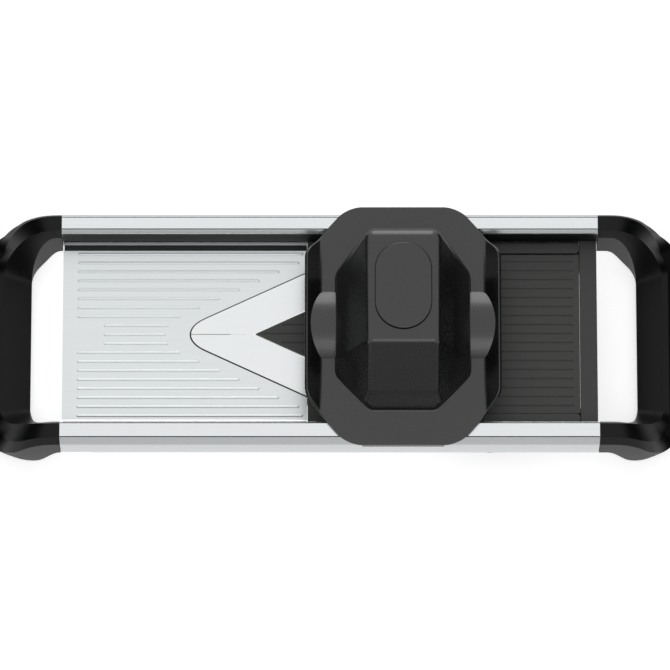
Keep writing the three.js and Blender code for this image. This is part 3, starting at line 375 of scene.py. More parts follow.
notch_end = RAIL_START + NOTCH_LENGTH
for side_name, side in SIDES:
    rail = prism(
        "x", [rail_outline(*INNER_BEVELS[side_name]), rail_hollow(RAIL_WALL)], RAIL_START, RAIL_END)
    if side < 0:
        notch = prism("y", [[
            [RAIL_START - OVERRUN, RAIL_BOTTOM - OVERRUN], [notch_end, RAIL_BOTTOM - OVERRUN],
            [notch_end, RAIL_BOTTOM, NOTCH_FOOT_ROUND],
            [notch_end - NOTCH_SLOPE, RAIL_BOTTOM + NOTCH_HEIGHT, NOTCH_TOP_ROUND],
            [RAIL_START - OVERRUN, RAIL_BOTTOM + NOTCH_HEIGHT],
        ]], RAIL_INNER - OVERRUN, RAIL_OUTER + OVERRUN)
        rail = mirror_across(combined(rail, notch, "DIFFERENCE"))
    make_piece(
        rail, f"rail_{side_name}_extrusion", polished_aluminium, "frame",
        [f"rail_{side_name}"], crease=24)

# Handles: U-shaped grips moulded in black ABS, which leave the rails, fall to a heel on each
# side and join in a low bar. Each is pushed into both rails with spigots and screwed from below.
PLAY = 0.3
ARM_INNER = RAIL_INNER - 3.3
ARM_CREST_END = 11.3
ARM_LIP = 14
ARM_CHAMFER = 1.5
ARM_FALL = 1.3
ARM_FOOT_FALL = 15
BAR_INNER = 18.7
BAR_OUTER_SLOPE = 9.4
BAR_CHAMFER = 4
CREST_WIDTH = 3.6
CREST_HEIGHT = 11
BAR_BOTTOM = 3
LIP_HEIGHT = 4.6
BAR_END_HEIGHT = 7.5
BAR_END_HALF = 0.2
HANDLE_CORNER = 27
FINGER_CORNER = 16
CORNER_STEPS = 36
HANDLE_EDGE = 0.7
FINE_WELD = 0.001
MIDDLE_WELD = 0.005
RAIL_MIDDLE = (RAIL_INNER + RAIL_OUTER) / 2
SPIGOT_LENGTH = 32
HEEL_PLACE = 17.1
HEEL_CHAMFER = 8.5
HEEL_REACH = 14
HEEL_FOOT = 3
HEEL_HEAD = 8
HEEL_HEIGHT = 6
HEEL_ROUND = 1
HEEL_EASE = 0.8
SPIGOT_EASE = 0.6
PAD_TOP = 1.8
PAD_LENGTH = 6
PAD_WIDTH = 11
PAD_CORNER = 2.4
PAD_EASE = 0.4
SCREW_INSET = 26
LARGE_SCREW = {"radius": 1.5, "head_radius": 3, "head_height": 1.6, "length": 9}
SMALL_SCREW = {"radius": 1, "head_radius": 1.9, "head_height": 1.1, "length": 5}
RECESS_WIDTH_SHARE = 0.55
RECESS_ARM_SHARE = 0.28
RECESS_DEPTH_SHARE = 0.62
RECESS_TIP_SHARE = 0.55
RECESS_ROUND = 0.1
HEAD_EASE = 0.15
FLOW_SIZE = 28
GLOSS_SWING = 0.04


def bevelled(shape, edges, width, segments=3, clamp=True):
    """Bevels some edges of a shape by a width in millimetres."""
    bmesh.ops.bevel(
        shape, geom=edges, offset=width * MM, offset_type="OFFSET", segments=segments,
        profile=0.5, affect="EDGES", material=-1, clamp_overlap=clamp)
    return shape


def eased(shape, width, least=35, segments=2):
    """Bevels the sharp edges of a shape; the angle says how sharp, in degrees."""
    return bevelled(shape, [
        edge for edge in shape.edges
        if edge.is_manifold and edge.calc_face_angle(0) > math.radians(least)
    ], width, segments)


def rectangle(left, right, low, high, low_round=0, high_round=0):
    """The corners of a rectangle, with a radius for the lower and for the upper pair."""
    return [
        [left, low, low_round], [right, low, low_round],
        [right, high, high_round], [left, high, high_round],
    ]


def moved(shape, x, y, z):
    """A shape after a move in millimetres."""
    bmesh.ops.translate(shape, verts=shape.verts[:], vec=Vector((x, y, z)) * MM)
    return shape


def moulded_plastic(name, low, high, roughness, grain_size, depth, shine=0.5):
    """Moulded plastic: its colour varies a little with the flow, and a spark-eroded mould leaves
    a fine even grain. The grain is drawn coarser than the real one, so that it shows. Its size
    and depth are in millimetres."""
    material, tree = new_material(name)
    place = add_node(tree, "ShaderNodeTexCoord").outputs["Object"]
    flow = add_node(tree, "ShaderNodeTexNoise", {
        "Vector": place, "Scale": 1 / (FLOW_SIZE * MM), "Detail": 3, "Roughness": 0.5})
    grain = add_node(tree, "ShaderNodeTexNoise", {
        "Vector": place, "Scale": 1 / (grain_size * MM), "Detail": 2, "Roughness": 0.55})
    tone = add_node(tree, "ShaderNodeMix", {
        0: flow.outputs[0], 6: linear(low), 7: linear(high)}, data_type="RGBA")
    gloss = add_node(tree, "ShaderNodeMapRange", {
        "Value": grain.outputs[0], "From Min": 0.3, "From Max": 0.7,
        "To Min": roughness - GLOSS_SWING, "To Max": roughness + GLOSS_SWING})
    relief = add_node(tree, "ShaderNodeBump", {
        "Height": grain.outputs[0], "Strength": 0.25, "Distance": depth * MM})
    surface = add_node(tree, "ShaderNodeBsdfPrincipled", {
        "Base Color": tone.outputs[2], "Roughness": gloss.outputs[0], "IOR": 1.53,
        "Specular IOR Level": shine, "Normal": relief.outputs[0]})
    add_node(tree, "ShaderNodeOutputMaterial", {"Surface": surface.outputs[0]})
    return material


# Black ABS. The handles are fine-grained and nearly matt, so that they stay dark; the guard is
# satin: deep black on its sides, with a clear sheen where it faces up.
matt_black_abs = moulded_plastic(
    "matt_black_abs", "#070808", "#0a0b0b", 0.4, 0.45, 0.015, shine=0.18)
satin_black_abs = moulded_plastic(
    "satin_black_abs", "#070808", "#0a0b0b", 0.27, 0.45, 0.008, shine=0.75)


def eased_step(share):
    """0 to 1 with soft ends."""
    held = min(max(share, 0), 1)
    return held * held * (3 - 2 * held)


def mixed(first, second, share):
    """A value between two."""
    return first + (second - first) * share


def arm_top(out, straight, reach):
    """Height of an arm's upper edge at a distance from the rail's end."""
    crest = reach - BAR_OUTER_SLOPE - CREST_WIDTH
    share = min(max((out - straight) / (crest - straight), 0), 1)
    return RAIL_TOP - (RAIL_TOP - CREST_HEIGHT) * (1 - math.cos(math.pi / 2 * share ** ARM_FALL))


def arm_bottom(out, straight):
    """Height of an arm's lower edge at a distance from the rail's end."""
    return RAIL_BOTTOM - (RAIL_BOTTOM - BAR_BOTTOM) * eased_step((out - straight) / ARM_FOOT_FALL)


def handle_section(shape, outer, inner, outer_turn, inner_turn, straight, reach):
    """The vertices of a handle's section from a point of its outer edge to one of its inner
    edge. The turns run from 0 in the arm to 1 in the bar."""
    arm_width = RAIL_OUTER - ARM_INNER
    bar_width = reach - straight - BAR_INNER
    whole_turn = (outer_turn + inner_turn) / 2
    heel_share = eased_step((outer.x - straight - HEEL_PLACE) / HEEL_REACH)
    foot = mixed(ARM_CHAMFER, HEEL_CHAMFER, heel_share)
    height_left = (arm_top(outer.x, straight, reach) - BAR_BOTTOM) / (RAIL_TOP - RAIL_BOTTOM)
    drop = BEVEL_DROP * min(height_left, 1) ** 2

    def point(share, height):
        spot = outer.lerp(inner, share)
        return shape.verts.new(Vector((spot.x, spot.y, height(spot.x))) * MM)

    return [
        point(1, lambda out: mixed(arm_bottom(out, straight), BAR_BOTTOM, inner_turn)),
        point(mixed(foot / arm_width, BAR_CHAMFER / bar_width, outer_turn),
              lambda out: mixed(arm_bottom(out, straight), BAR_BOTTOM, outer_turn)),
        point(0, lambda out: mixed(
            arm_bottom(out, straight) + foot, BAR_END_HEIGHT - BAR_END_HALF, outer_turn)),
        point(0, lambda out: mixed(
            arm_top(out, straight, reach) - drop, BAR_END_HEIGHT + BAR_END_HALF, outer_turn)),
        point(mixed(BEVEL_WIDTH / arm_width, BAR_OUTER_SLOPE / bar_width, whole_turn),
              lambda out: arm_top(out, straight, reach)),
        point(mixed(ARM_CREST_END / arm_width, (BAR_OUTER_SLOPE + CREST_WIDTH) / bar_width, whole_turn),
              lambda out: arm_top(out, straight, reach)),
        point(mixed(ARM_LIP / arm_width, 1, inner_turn),
              lambda out: mixed(arm_top(out, straight, reach) - BEVEL_DROP, LIP_HEIGHT, inner_turn)),
    ]


def corner_walk(straight_from, straight_to, side_line, radius, share):
    """A point on a straight stretch and the quarter turn after it, and how far it has turned."""
    stretch = straight_to - straight_from
    walked = share * (stretch + radius * math.pi / 2)
    if walked <= stretch:
        return Vector((straight_from + walked, side_line)), 0
    angle = (walked - stretch) / radius
    spot = Vector((straight_to + radius * math.sin(angle), side_line - radius * (1 - math.cos(angle))))
    return spot, eased_step(angle / (math.pi / 2))


def handle_shape(straight, reach):
    """A whole handle, drawn outwards along +X from the end of the rails."""
    shape = bmesh.new()
    inner_edge = straight + BAR_INNER
    inner_straight = inner_edge - FINGER_CORNER
    sections = []
    for out in (0, inner_straight * 0.25, inner_straight * 0.5, inner_straight * 0.75):
        sections.append(handle_section(
            shape, Vector((out, RAIL_OUTER)), Vector((out, ARM_INNER)), 0, 0, straight, reach))
    for step in range(CORNER_STEPS + 1):
        share = step / CORNER_STEPS
        outer, outer_turn = corner_walk(
            inner_straight, reach - HANDLE_CORNER, RAIL_OUTER, HANDLE_CORNER, share)
        inner, inner_turn = corner_walk(
            inner_straight, inner_straight, ARM_INNER, FINGER_CORNER, share)
        sections.append(handle_section(shape, outer, inner, outer_turn, inner_turn, straight, reach))
    outer_place, inner_place = RAIL_OUTER - HANDLE_CORNER, ARM_INNER - FINGER_CORNER
    for share in (0.8, 0.5, 0):
        sections.append(handle_section(
            shape, Vector((reach, outer_place * share)), Vector((inner_edge, inner_place * share)),
            1, 1, straight, reach))
    shape.faces.new(sections[0])

    def around(section):
        """The pairs of neighbours around a section."""
        return list(zip(section, section[1:] + section[:1]))

    for section in sections:
        for pair in around(section):
            if not shape.edges.get(pair):
                shape.edges.new(pair)
    lines = []
    for first, second in zip(sections, sections[1:]):
        loops = [shape.edges.get(pair) for pair in around(first) + around(second)]
        bmesh.ops.bridge_loops(shape, edges=loops)
        lines += [shape.edges.get(pair) for pair in zip(first, second)]
    bevelled(shape, [line for line in lines if line], HANDLE_EDGE)
    middle = [
        face for face in shape.faces if all(abs(vert.co.y) < FINE_WELD * MM for vert in face.verts)]
    bmesh.ops.delete(shape, geom=middle, context="FACES")
    bmesh.ops.recalc_face_normals(shape, faces=shape.faces[:])
    bmesh.ops.mirror(shape, geom=shape.verts[:] + shape.edges[:] + shape.faces[:],
                     axis="Y", merge_dist=MIDDLE_WELD * MM)
    bmesh.ops.recalc_face_normals(shape, faces=shape.faces[:])
    middle_heel = straight + HEEL_PLACE
    heel_bottom = PAD_TOP + PLAY
    for side in (1, -1):
        reach_across = sorted((side * (RAIL_MIDDLE - PAD_WIDTH / 2), side * (RAIL_MIDDLE + PAD_WIDTH / 2)))
        heel = eased(prism("y", [[
            [middle_heel - HEEL_FOOT, heel_bottom, HEEL_ROUND],
            [middle_heel + HEEL_FOOT, heel_bottom, HEEL_ROUND],
            [middle_heel + HEEL_HEAD, heel_bottom + HEEL_HEIGHT],
            [middle_heel - HEEL_HEAD, heel_bottom + HEEL_HEIGHT],
        ]], *reach_across), HEEL_EASE)
        spigot = eased(prism(
            "x", [[[side * corner[0], corner[1]] for corner in rail_hollow(RAIL_WALL + PLAY)]],
            -SPIGOT_LENGTH, OVERRUN), SPIGOT_EASE)
        shape = combined(combined(shape, heel, "UNION"), spigot, "UNION")
    return shape


# Black rubber for the pads, and for the strips of painted shade along the deck's beads: matt, with a fine
# moulded texture
matt_rubber = moulded_plastic("matt_black_rubber", "#101010", "#161616", 0.82, 0.6, 0.05)


def cross_recess(size, depth, top):
    """The cutter for a screw's cross recess, with its point upwards."""
    half, arm, ease = size, size * RECESS_ARM_SHARE, RECESS_ROUND
    cross = prism("z", [[
        [-half, -arm, ease], [-arm, -arm], [-arm, -half, ease], [arm, -half, ease], [arm, -arm],
        [half, -arm, ease], [half, arm, ease], [arm, arm], [arm, half, ease], [-arm, half, ease],
        [-arm, arm], [-half, arm, ease],
    ]], top - depth * 2, top)
    tip = [vert for vert in cross.verts if vert.co.z > (top - depth) * MM]
    bmesh.ops.scale(cross, verts=tip, vec=(RECESS_TIP_SHARE, RECESS_TIP_SHARE, 1))
    return cross


def turned_shape(axis, profile, steps):
    """A shape turned on a lathe about an axis through the origin from [radius, along] points."""
    shape = bmesh.new()
    verts = [shape.verts.new(Vector((across, 0, along)) * MM) for across, along in profile]
    edges = [shape.edges.new(pair) for pair in zip(verts, verts[1:])]
    bmesh.ops.spin(
        shape, geom=verts + edges, axis=(0, 0, 1), cent=(0, 0, 0), angle=2 * math.pi, steps=steps,
        use_merge=True)
    welded(shape, FINE_WELD)
    bmesh.ops.recalc_face_normals(shape, faces=shape.faces[:])
    if axis == "y":
        bmesh.ops.rotate(shape, verts=shape.verts[:], matrix=Matrix.Rotation(-math.pi / 2, 3, "X"))
    return shape


def screw_shape(radius, head_radius, head_height, length):
    """A pan-head screw with its head down and the underside of the head at height zero."""
    screw = turned_shape("z", [
        (0, length), (radius * 0.55, length), (radius, length - radius * 0.8), (radius, 0),
        (head_radius - HEAD_EASE, 0), (head_radius, -HEAD_EASE), (head_radius, -head_height * 0.55),
        (head_radius * 0.9, -head_height * 0.85), (head_radius * 0.7, -head_height), (0, -head_height),
    ], 32)
    recess = cross_recess(
        head_radius * RECESS_WIDTH_SHARE, head_height * RECESS_DEPTH_SHARE,
        -head_height * (1 - RECESS_DEPTH_SHARE))
    return combined(screw, recess, "DIFFERENCE")


# Turned stainless for the screws: bright, with fine marks from the lathe all over. They are
# drawn at 0.3 mm, wider than the real ones.
turned_stainless = worked_metal("turned_stainless", "#b4b7b9", "#c9cccd", 0.3, 0.3, 1, 0.3, 0.3)


def add_screw(node, body, size, place):
    """One screw on its place, head down."""
    make_piece(
        moved(screw_shape(**size), *place), f"{node}_turned", turned_stainless, body,
        [node])


for end_name, straight, reach, rail_end, out in (
    ("left", 0.5, 49, RAIL_START, -1),
    ("right", 5.3, 52, RAIL_END, 1),
):
    handle = handle_shape(straight, reach)
    if out < 0:
        bmesh.ops.scale(handle, verts=handle.verts[:], vec=(-1, 1, 1))
        bmesh.ops.reverse_faces(handle, faces=handle.faces[:])
    make_piece(
        moved(handle, rail_end + out * PLAY, 0, 0), f"handle_{end_name}_moulding", matt_black_abs,
        "frame", [f"handle_{end_name}"], crease=38)
    for side_name, side in SIDES:
        pad_x = rail_end + out * (PLAY + straight + HEEL_PLACE)
        pad_y = side * RAIL_MIDDLE
        half, wide = PAD_LENGTH / 2, PAD_WIDTH / 2
        pad = eased(prism("z", [rectangle(
            pad_x - half, pad_x + half, pad_y - wide, pad_y + wide, PAD_CORNER, PAD_CORNER,
        )], 0, PAD_TOP), PAD_EASE, least=50, segments=3)
        make_piece(
            pad, f"foot_pad_{end_name}_{side_name}_rubber", matt_rubber, "frame",
            [f"foot_pad_{end_name}_{side_name}"])
        add_screw(
            f"handle_screw_{end_name}_{side_name}", "frame", LARGE_SCREW,
            (rail_end - out * SCREW_INSET, side * RAIL_MIDDLE, RAIL_BOTTOM - PLAY))

# Painted shade: two thin lines of black acetal in the grooves of each rail's top and a black band
# on the inner wall stand for the shade and dark reflections there. They sit in the extrusion.
SHADE_BAND_BOTTOM = 32.7
SHADE_BAND_PROUD = 0.25
SHADE_BAND_SUNK = 0.05
SHADE_BAND_BELOW_BEVEL = 1
STRIP_TOP = RAIL_TOP - 0.05
STRIP_INSET = 0.1
STRIP_EASE = 0.08


def gathered(parts):
    """Several separate shapes as one."""
    whole = bmesh.new()
    for part in parts:
        mesh = mesh_of(part, "part")
        whole.from_mesh(mesh)
        bpy.data.meshes.remove(mesh)
    return whole


# Black acetal for the painted shade and dark reflections in the rails' grooves and on their inner walls
painted_shade_acetal = moulded_plastic(
    "black_slide_acetal", "#080909", "#0b0c0c", 0.5, 0.4, 0.01, shine=0.2)
line_inset = LINE_EDGE + LINE_WIDTH / 2
for side_name, side in SIDES:
    inner_width, inner_drop = INNER_BEVELS[side_name]
    sections = [
        rectangle(middle - LINE_WIDTH / 2, middle + LINE_WIDTH / 2, RAIL_TOP - LINE_DEPTH, STRIP_TOP)
        for middle in (
            RAIL_OUTER - BEVEL_WIDTH - line_inset, RAIL_INNER + inner_width + line_inset)]
    sections.append(rectangle(
        RAIL_INNER - SHADE_BAND_PROUD, RAIL_INNER + SHADE_BAND_SUNK, SHADE_BAND_BOTTOM,
        RAIL_TOP - inner_drop - SHADE_BAND_BELOW_BEVEL))
    trim = gathered([
        eased(prism("x", [section], RAIL_START + STRIP_INSET, RAIL_END - STRIP_INSET), STRIP_EASE)
        for section in sections])
    if side < 0:
        mirror_across(trim)
    make_piece(
        trim, f"rail_{side_name}_painted_shade_strips", painted_shade_acetal, "frame",
        [f"rail_{side_name}"])

# Deck: one sheet of 1.2 mm stainless steel, pressed with long ribs and a bead along each side,
# folded down at the edges and cut out in a V. A flat strip under it rests on the rail ledges.
CARRIER_EDGE = RAIL_INNER - PLAY
DECK_TOP = 31.1
SHEET = 1.2
DECK_START = RAIL_START + PLAY
DECK_END = -14.8
BEAD_INNER = CARRIER_EDGE - 4.9
BEAD_OUTER = BEAD_INNER + 2.4
BEAD_RISE = 1.2
BEAD_TOP = DECK_TOP + BEAD_RISE
FOLD_END = LEDGE_TOP + PLAY
FOLD_DEPTH = 5
FOLD_SUNK = 0.4
FOLD_INSET = 0.05
FOLD_EASE = 0.25
BEAD_ROUND = 1.2
BEAD_UNDER_ROUND = 0.6
SHOULDER_BEND = 0.7
EDGE_EASE = 0.2
RIB_ROWS = 9
RIB_PITCH = 5.47
RIB_WIDTH = 1.5
RIB_HEIGHT = 0.6
RIB_SUNK = 0.5
RIB_ROUND = 0.7
RIB_CROWN = 0.5
RIB_START = 9.1
RIB_START_MIDDLE = 24.6
RIB_TO_SEAM = 7
RIB_TO_END = 2.4
HALF_ANGLE = math.radians(25.1)
SLOPE = math.tan(HALF_ANGLE)
SEAM_APEX = DECK_END - 81.7
SEAM_RADIUS = 11.05
CUT_APEX = SEAM_APEX + 49.3
CUT_DEPTH = 4


def wedge(apex, radius, end):
    """The V that the seam, the blades and the plate's tongue share, pointing to -X."""
    half = (end - apex) * SLOPE
    return [[apex, 0, radius], [end, -half], [end, half]]


def seam_line(off):
    """Where the rounded seam stands at a distance from the centre line."""
    if off > SEAM_RADIUS * math.cos(HALF_ANGLE):
        return SEAM_APEX + off / SLOPE
    return SEAM_APEX + SEAM_RADIUS / math.sin(HALF_ANGLE) - math.sqrt(SEAM_RADIUS ** 2 - off ** 2)


# Stainless sheet with a satin finish from a belt: very light, with a fine even grain along the
# deck. The scratches are about 0.1 mm apart and are drawn at 0.3 mm.
satin_stainless = worked_metal(
    "satin_stainless_sheet", "#d6dadb", "#e2e6e7", 60, 0.3, 2, 0.32, 0.38)

under = DECK_TOP - SHEET
half_section = [
    [BEAD_INNER, DECK_TOP, BEAD_ROUND], [BEAD_OUTER, BEAD_TOP, BEAD_ROUND],
    [CARRIER_EDGE, BEAD_TOP, SHOULDER_BEND], [CARRIER_EDGE, FOLD_END, EDGE_EASE],
    [CARRIER_EDGE - SHEET, FOLD_END, EDGE_EASE], [CARRIER_EDGE - SHEET, under + BEAD_RISE],
    [BEAD_OUTER + SHEET / 2, under + BEAD_RISE, BEAD_UNDER_ROUND],
    [BEAD_INNER + SHEET / 2, under, BEAD_UNDER_ROUND],
]
deck = prism("x", [[
    *[[-across, up, *radius] for across, up, *radius in half_section], *reversed(half_section),
]], DECK_START, DECK_END)
fold = eased(prism(
    "x", [rectangle(-BEAD_INNER, BEAD_INNER, DECK_TOP - FOLD_DEPTH, DECK_TOP - FOLD_SUNK)],
    DECK_START + FOLD_INSET, DECK_START + SHEET), FOLD_EASE)
deck = combined(deck, fold, "UNION")
ribs = []
for row in range(-RIB_ROWS, RIB_ROWS + 1):
    across = row * RIB_PITCH
    start = RAIL_START + (RIB_START_MIDDLE if abs(row) <= 1 else RIB_START)
    end = min(seam_line(abs(across)) - RIB_TO_SEAM / math.sin(HALF_ANGLE), DECK_END - RIB_TO_END)
    rib = prism("z", [rectangle(
        start, end, across - RIB_WIDTH / 2, across + RIB_WIDTH / 2, RIB_ROUND, RIB_ROUND,
    )], DECK_TOP - RIB_SUNK, DECK_TOP + RIB_HEIGHT)
    crown = [edge for edge in rib.edges if all(vert.co.z > DECK_TOP * MM for vert in edge.verts)]
    ribs.append(bevelled(rib, crown, RIB_CROWN))
deck = combined(deck, gathered(ribs), "UNION")
deck = combined(
    deck, prism(
        "z", [wedge(SEAM_APEX, SEAM_RADIUS, DECK_END + OVERRUN)], LEDGE_TOP - CUT_DEPTH, RAIL_TOP),
    "DIFFERENCE")
make_piece(
    deck, "run_out_deck_sheet", satin_stainless, "frame", ["run_out_deck"], crease=40)

# A black rubber strip in the slope of each bead is painted shade for the dark gap between the sheet's edge
# and the rail
for side_name, side, outline in (
    ("rear", 1, [
        [BEAD_INNER - 0.4, DECK_TOP - 0.2], [BEAD_OUTER + 0.4, BEAD_TOP - 0.2],
        [BEAD_OUTER + 0.3, BEAD_TOP + 0.15], [BEAD_OUTER - 0.2, BEAD_TOP + 0.2],
        [BEAD_INNER - 0.1, DECK_TOP + 0.25], [BEAD_INNER - 0.4, DECK_TOP + 0.1]]),
    ("front", -1, [
        [BEAD_INNER + 1.1, DECK_TOP + 0.3], [BEAD_OUTER, BEAD_TOP - 0.2],
        [CARRIER_EDGE - 0.1, BEAD_TOP - 0.2], [CARRIER_EDGE - 0.1, BEAD_TOP + 0.2],
        [BEAD_OUTER - 0.1, BEAD_TOP + 0.2], [BEAD_INNER + 1.1, DECK_TOP + 0.75]]),
):
    bead_shade_strip = eased(prism("x", [outline], DECK_START + 0.6, DECK_END - 0.3), 0.08)
    if side < 0:
        mirror_across(bead_shade_strip)
    make_piece(bead_shade_strip, f"deck_seal_{side_name}_rubber", matt_rubber, "frame", ["run_out_deck"])


def eased_copy(node, width, least=30):
    """A CAD node's own shape with its facets merged and its sharp edges eased."""
    shape = bmesh.new()
    shape.from_mesh(frame["nodes"][node].data)
    welded(shape, WELD)
    bmesh.ops.dissolve_limit(
        shape, angle_limit=math.radians(0.5), verts=shape.verts[:], edges=shape.edges[:])
    return eased(shape, width, least=least)


make_piece(
    eased_copy("deck_crossbar", 0.3), "deck_crossbar_strip", satin_stainless, "frame",
    ["deck_crossbar"])

# Blade carrier and end bridge: matt black mouldings of glass-filled nylon between the rails.
# They sit on the ledges and are held by small screws from below.
matt_black_nylon = moulded_plastic("matt_black_nylon", "#2a2c2a", "#2f312f", 0.5, 0.5, 0.03)
for node, ease in (("blade_carrier", 0.25), ("end_bridge", 0.4)):
    make_piece(
        eased_copy(node, ease), f"{node}_moulding", matt_black_nylon, "frame",
        [node])
LEDGE_MIDDLE = (LEDGE_INNER + RAIL_INNER) / 2
INNER_SCREW = 7
OUTER_SCREW = 65
BRIDGE_SCREW = 5.15
for screw_name, screw_x in (
    ("carrier_screw_inner", DECK_END + INNER_SCREW), ("carrier_screw_outer", DECK_END + OUTER_SCREW),
    ("bridge_screw", RAIL_END - BRIDGE_SCREW),
):
    for side_name, side in SIDES:
        add_screw(
            f"{screw_name}_{side_name}", "frame", SMALL_SCREW,
            (screw_x, side * LEDGE_MIDDLE, LEDGE_TOP - LEDGE_THICKNESS - PLAY))

# Blades: two halves of a V in 1.2 mm hardened stainless, mitred on the centre line. Each is
# ground flat from below to a thin edge along the inside of the V.
BLADE_TOP = 31.7
BLADE_THICKNESS = 1.2
BLADE_HALF_SPAN = 51.4
BLADE_CORNER = 0.6
GRIND_WIDTH = 2.5
EDGE_THICKNESS = 0.2
SEAM_GAP = 0.75

# Hardened stainless, surface ground along the slicer: brighter and finer than the deck. The
# lines are drawn at 0.25 mm, wider than the real ones.
ground_stainless = worked_metal("ground_stainless", "#e3e6e7", "#eceeee", 12, 0.25, 2, 0.27, 0.27)


def sliced(shape, spot, normal, clear=True):
    """Cuts a shape on a plane and gives the edges of the cut. What stands past the plane is
    taken off, or stays where clear is false."""
    cut = bmesh.ops.bisect_plane(
        shape, geom=shape.verts[:] + shape.edges[:] + shape.faces[:],
        plane_co=Vector(spot) * MM, plane_no=normal, clear_outer=clear)
    return [part for part in cut["geom_cut"] if isinstance(part, bmesh.types.BMEdge)]


seat_apex = SEAM_APEX + SEAM_GAP / math.sin(HALF_ANGLE)
seat_end = seat_apex + BLADE_HALF_SPAN / SLOPE
cut_end = CUT_APEX + BLADE_HALF_SPAN / SLOPE
grind_rise = (BLADE_THICKNESS - EDGE_THICKNESS) / GRIND_WIDTH
grind_facing = (math.sin(HALF_ANGLE) * grind_rise, -math.cos(HALF_ANGLE) * grind_rise, -1)
for side_name, side in SIDES:
    blade = prism("z", [[
        [seat_apex, 0, SEAM_RADIUS - SEAM_GAP], [seat_end, -BLADE_HALF_SPAN, BLADE_CORNER],
        [cut_end, -BLADE_HALF_SPAN], [CUT_APEX, 0], [cut_end, BLADE_HALF_SPAN],
        [seat_end, BLADE_HALF_SPAN, BLADE_CORNER],
    ]], BLADE_TOP - BLADE_THICKNESS, BLADE_TOP)
    for spot, facing in (
        ((0, PLAY / 2, 0), (0, -1, 0)), ((CUT_APEX, 0, BLADE_TOP - EDGE_THICKNESS), grind_facing),
    ):
        rim = sliced(blade, spot, facing)
        bmesh.ops.triangle_fill(blade, use_beauty=True, use_dissolve=True, edges=rim)
    welded(blade, FINE_WELD)
    bmesh.ops.recalc_face_normals(blade, faces=blade.faces[:])
    if side < 0:
        mirror_across(blade)
    make_piece(
        blade, f"blade_{side_name}_ground", ground_stainless, "frame",
        [f"blade_{side_name}"])

# Run-in plate: a matt black moulding with fine grooves, so that food slides easily. Its tongue
# reaches between the blades and its four legs slide in the cheeks, on two cams that set its height.
grooved_nylon = moulded_plastic("grooved_black_nylon", "#292c28", "#2f312d", 0.46, 0.5, 0.03)
make_piece(
    eased_copy("run_in_plate", 0.15), "run_in_plate_moulding", grooved_nylon, "plate",
    ["run_in_plate"])

# Thickness mechanism: a stainless cross shaft that turns in two cheeks under the rails, with two
# acetal cams under the plate and a dial outside the rear rail, held by a screw.
SHAFT_X = frame["joints"][0]["pos_m"][0] / MM
SHAFT_Z = 17.3
SHAFT_RADIUS = 3
SHAFT_CHAMFER = 0.5
SHAFT_FRONT = -67.7
SHAFT_REAR = 69.7
CAM_TURN = math.radians(270)
CAM_LARGE = 12.8
CAM_SMALL = 4.5
CAM_STEPS = 90
CAM_PLACE = 26
CAM_HALF = 3
CAM_BORE = 3.3
CAM_EASE = 0.4
CHEEK_FLANGE = 2.5
CHEEK_EASE = 0.3
CHEEK_START = 84
CHEEK_END = 101
CHAMFER_INNER = 64.5
CHAMFER_OUTER = 69
CHAMFER_BOTTOM = 11.9
CHAMFER_TOP = 23.5
ROUND_STEPS = 48
grey_acetal = moulded_plastic("natural_grey_acetal", "#b2b4b4", "#babcbc", 0.4, 0.6, 0.01)


def on_shaft(shape):
    """Moves a shape from the origin to the cross shaft."""
    return moved(shape, SHAFT_X, 0, SHAFT_Z)


make_piece(
    on_shaft(turned_shape("y", [
        (0, SHAFT_FRONT), (SHAFT_RADIUS - SHAFT_CHAMFER, SHAFT_FRONT),
        (SHAFT_RADIUS, SHAFT_FRONT + SHAFT_CHAMFER), (SHAFT_RADIUS, SHAFT_REAR - SHAFT_CHAMFER),
        (SHAFT_RADIUS - SHAFT_CHAMFER, SHAFT_REAR), (0, SHAFT_REAR)], ROUND_STEPS)),
    "cam_shaft_turned", turned_stainless, "cams", ["cam_shaft"])
cam_lift = (CAM_LARGE - CAM_SMALL) / CAM_TURN
cam_outline = []
for step in range(CAM_STEPS + 1):
    turned_by = CAM_TURN * step / CAM_STEPS
    angle = math.pi / 2 + turned_by
    lift = CAM_LARGE - cam_lift * turned_by
    cam_outline.append([
        lift * math.cos(angle) + cam_lift * math.sin(angle),
        lift * math.sin(angle) - cam_lift * math.cos(angle)])
for side_name, side in SIDES:
    cam_y = side * CAM_PLACE
    cam = eased(prism("y", [cam_outline], cam_y - CAM_HALF, cam_y + CAM_HALF), CAM_EASE, least=60)
    low, high = cam_y - CAM_HALF - 2 * OVERRUN, cam_y + CAM_HALF + 2 * OVERRUN
    bore = turned_shape("y", [(0, low), (CAM_BORE, low), (CAM_BORE, high), (0, high)], ROUND_STEPS)
    make_piece(
        on_shaft(combined(cam, bore, "DIFFERENCE")), f"cam_{side_name}_moulding", grey_acetal,
        "cams", [f"cam_{side_name}"])
    chamfer = prism("x", [[
        [side * CHAMFER_INNER, CHAMFER_BOTTOM], [side * CHAMFER_OUTER, CHAMFER_BOTTOM],
        [side * CHAMFER_OUTER, CHAMFER_TOP],
    ]], CHEEK_START, CHEEK_END)
    make_piece(
        combined(eased_copy(f"cheek_{side_name}", CHEEK_EASE), chamfer, "DIFFERENCE"),
        f"cheek_{side_name}_moulding", matt_black_nylon, "frame",
        [f"cheek_{side_name}"])
    for number in (1, 2):
        node = f"cheek_screw_{side_name}_{number}"
        low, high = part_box(node)
        middle = (low + high) / 2 / MM
        add_screw(
            node, "frame", LARGE_SCREW, (middle.x, middle.y, RAIL_BOTTOM - CHEEK_FLANGE - 2 * PLAY))

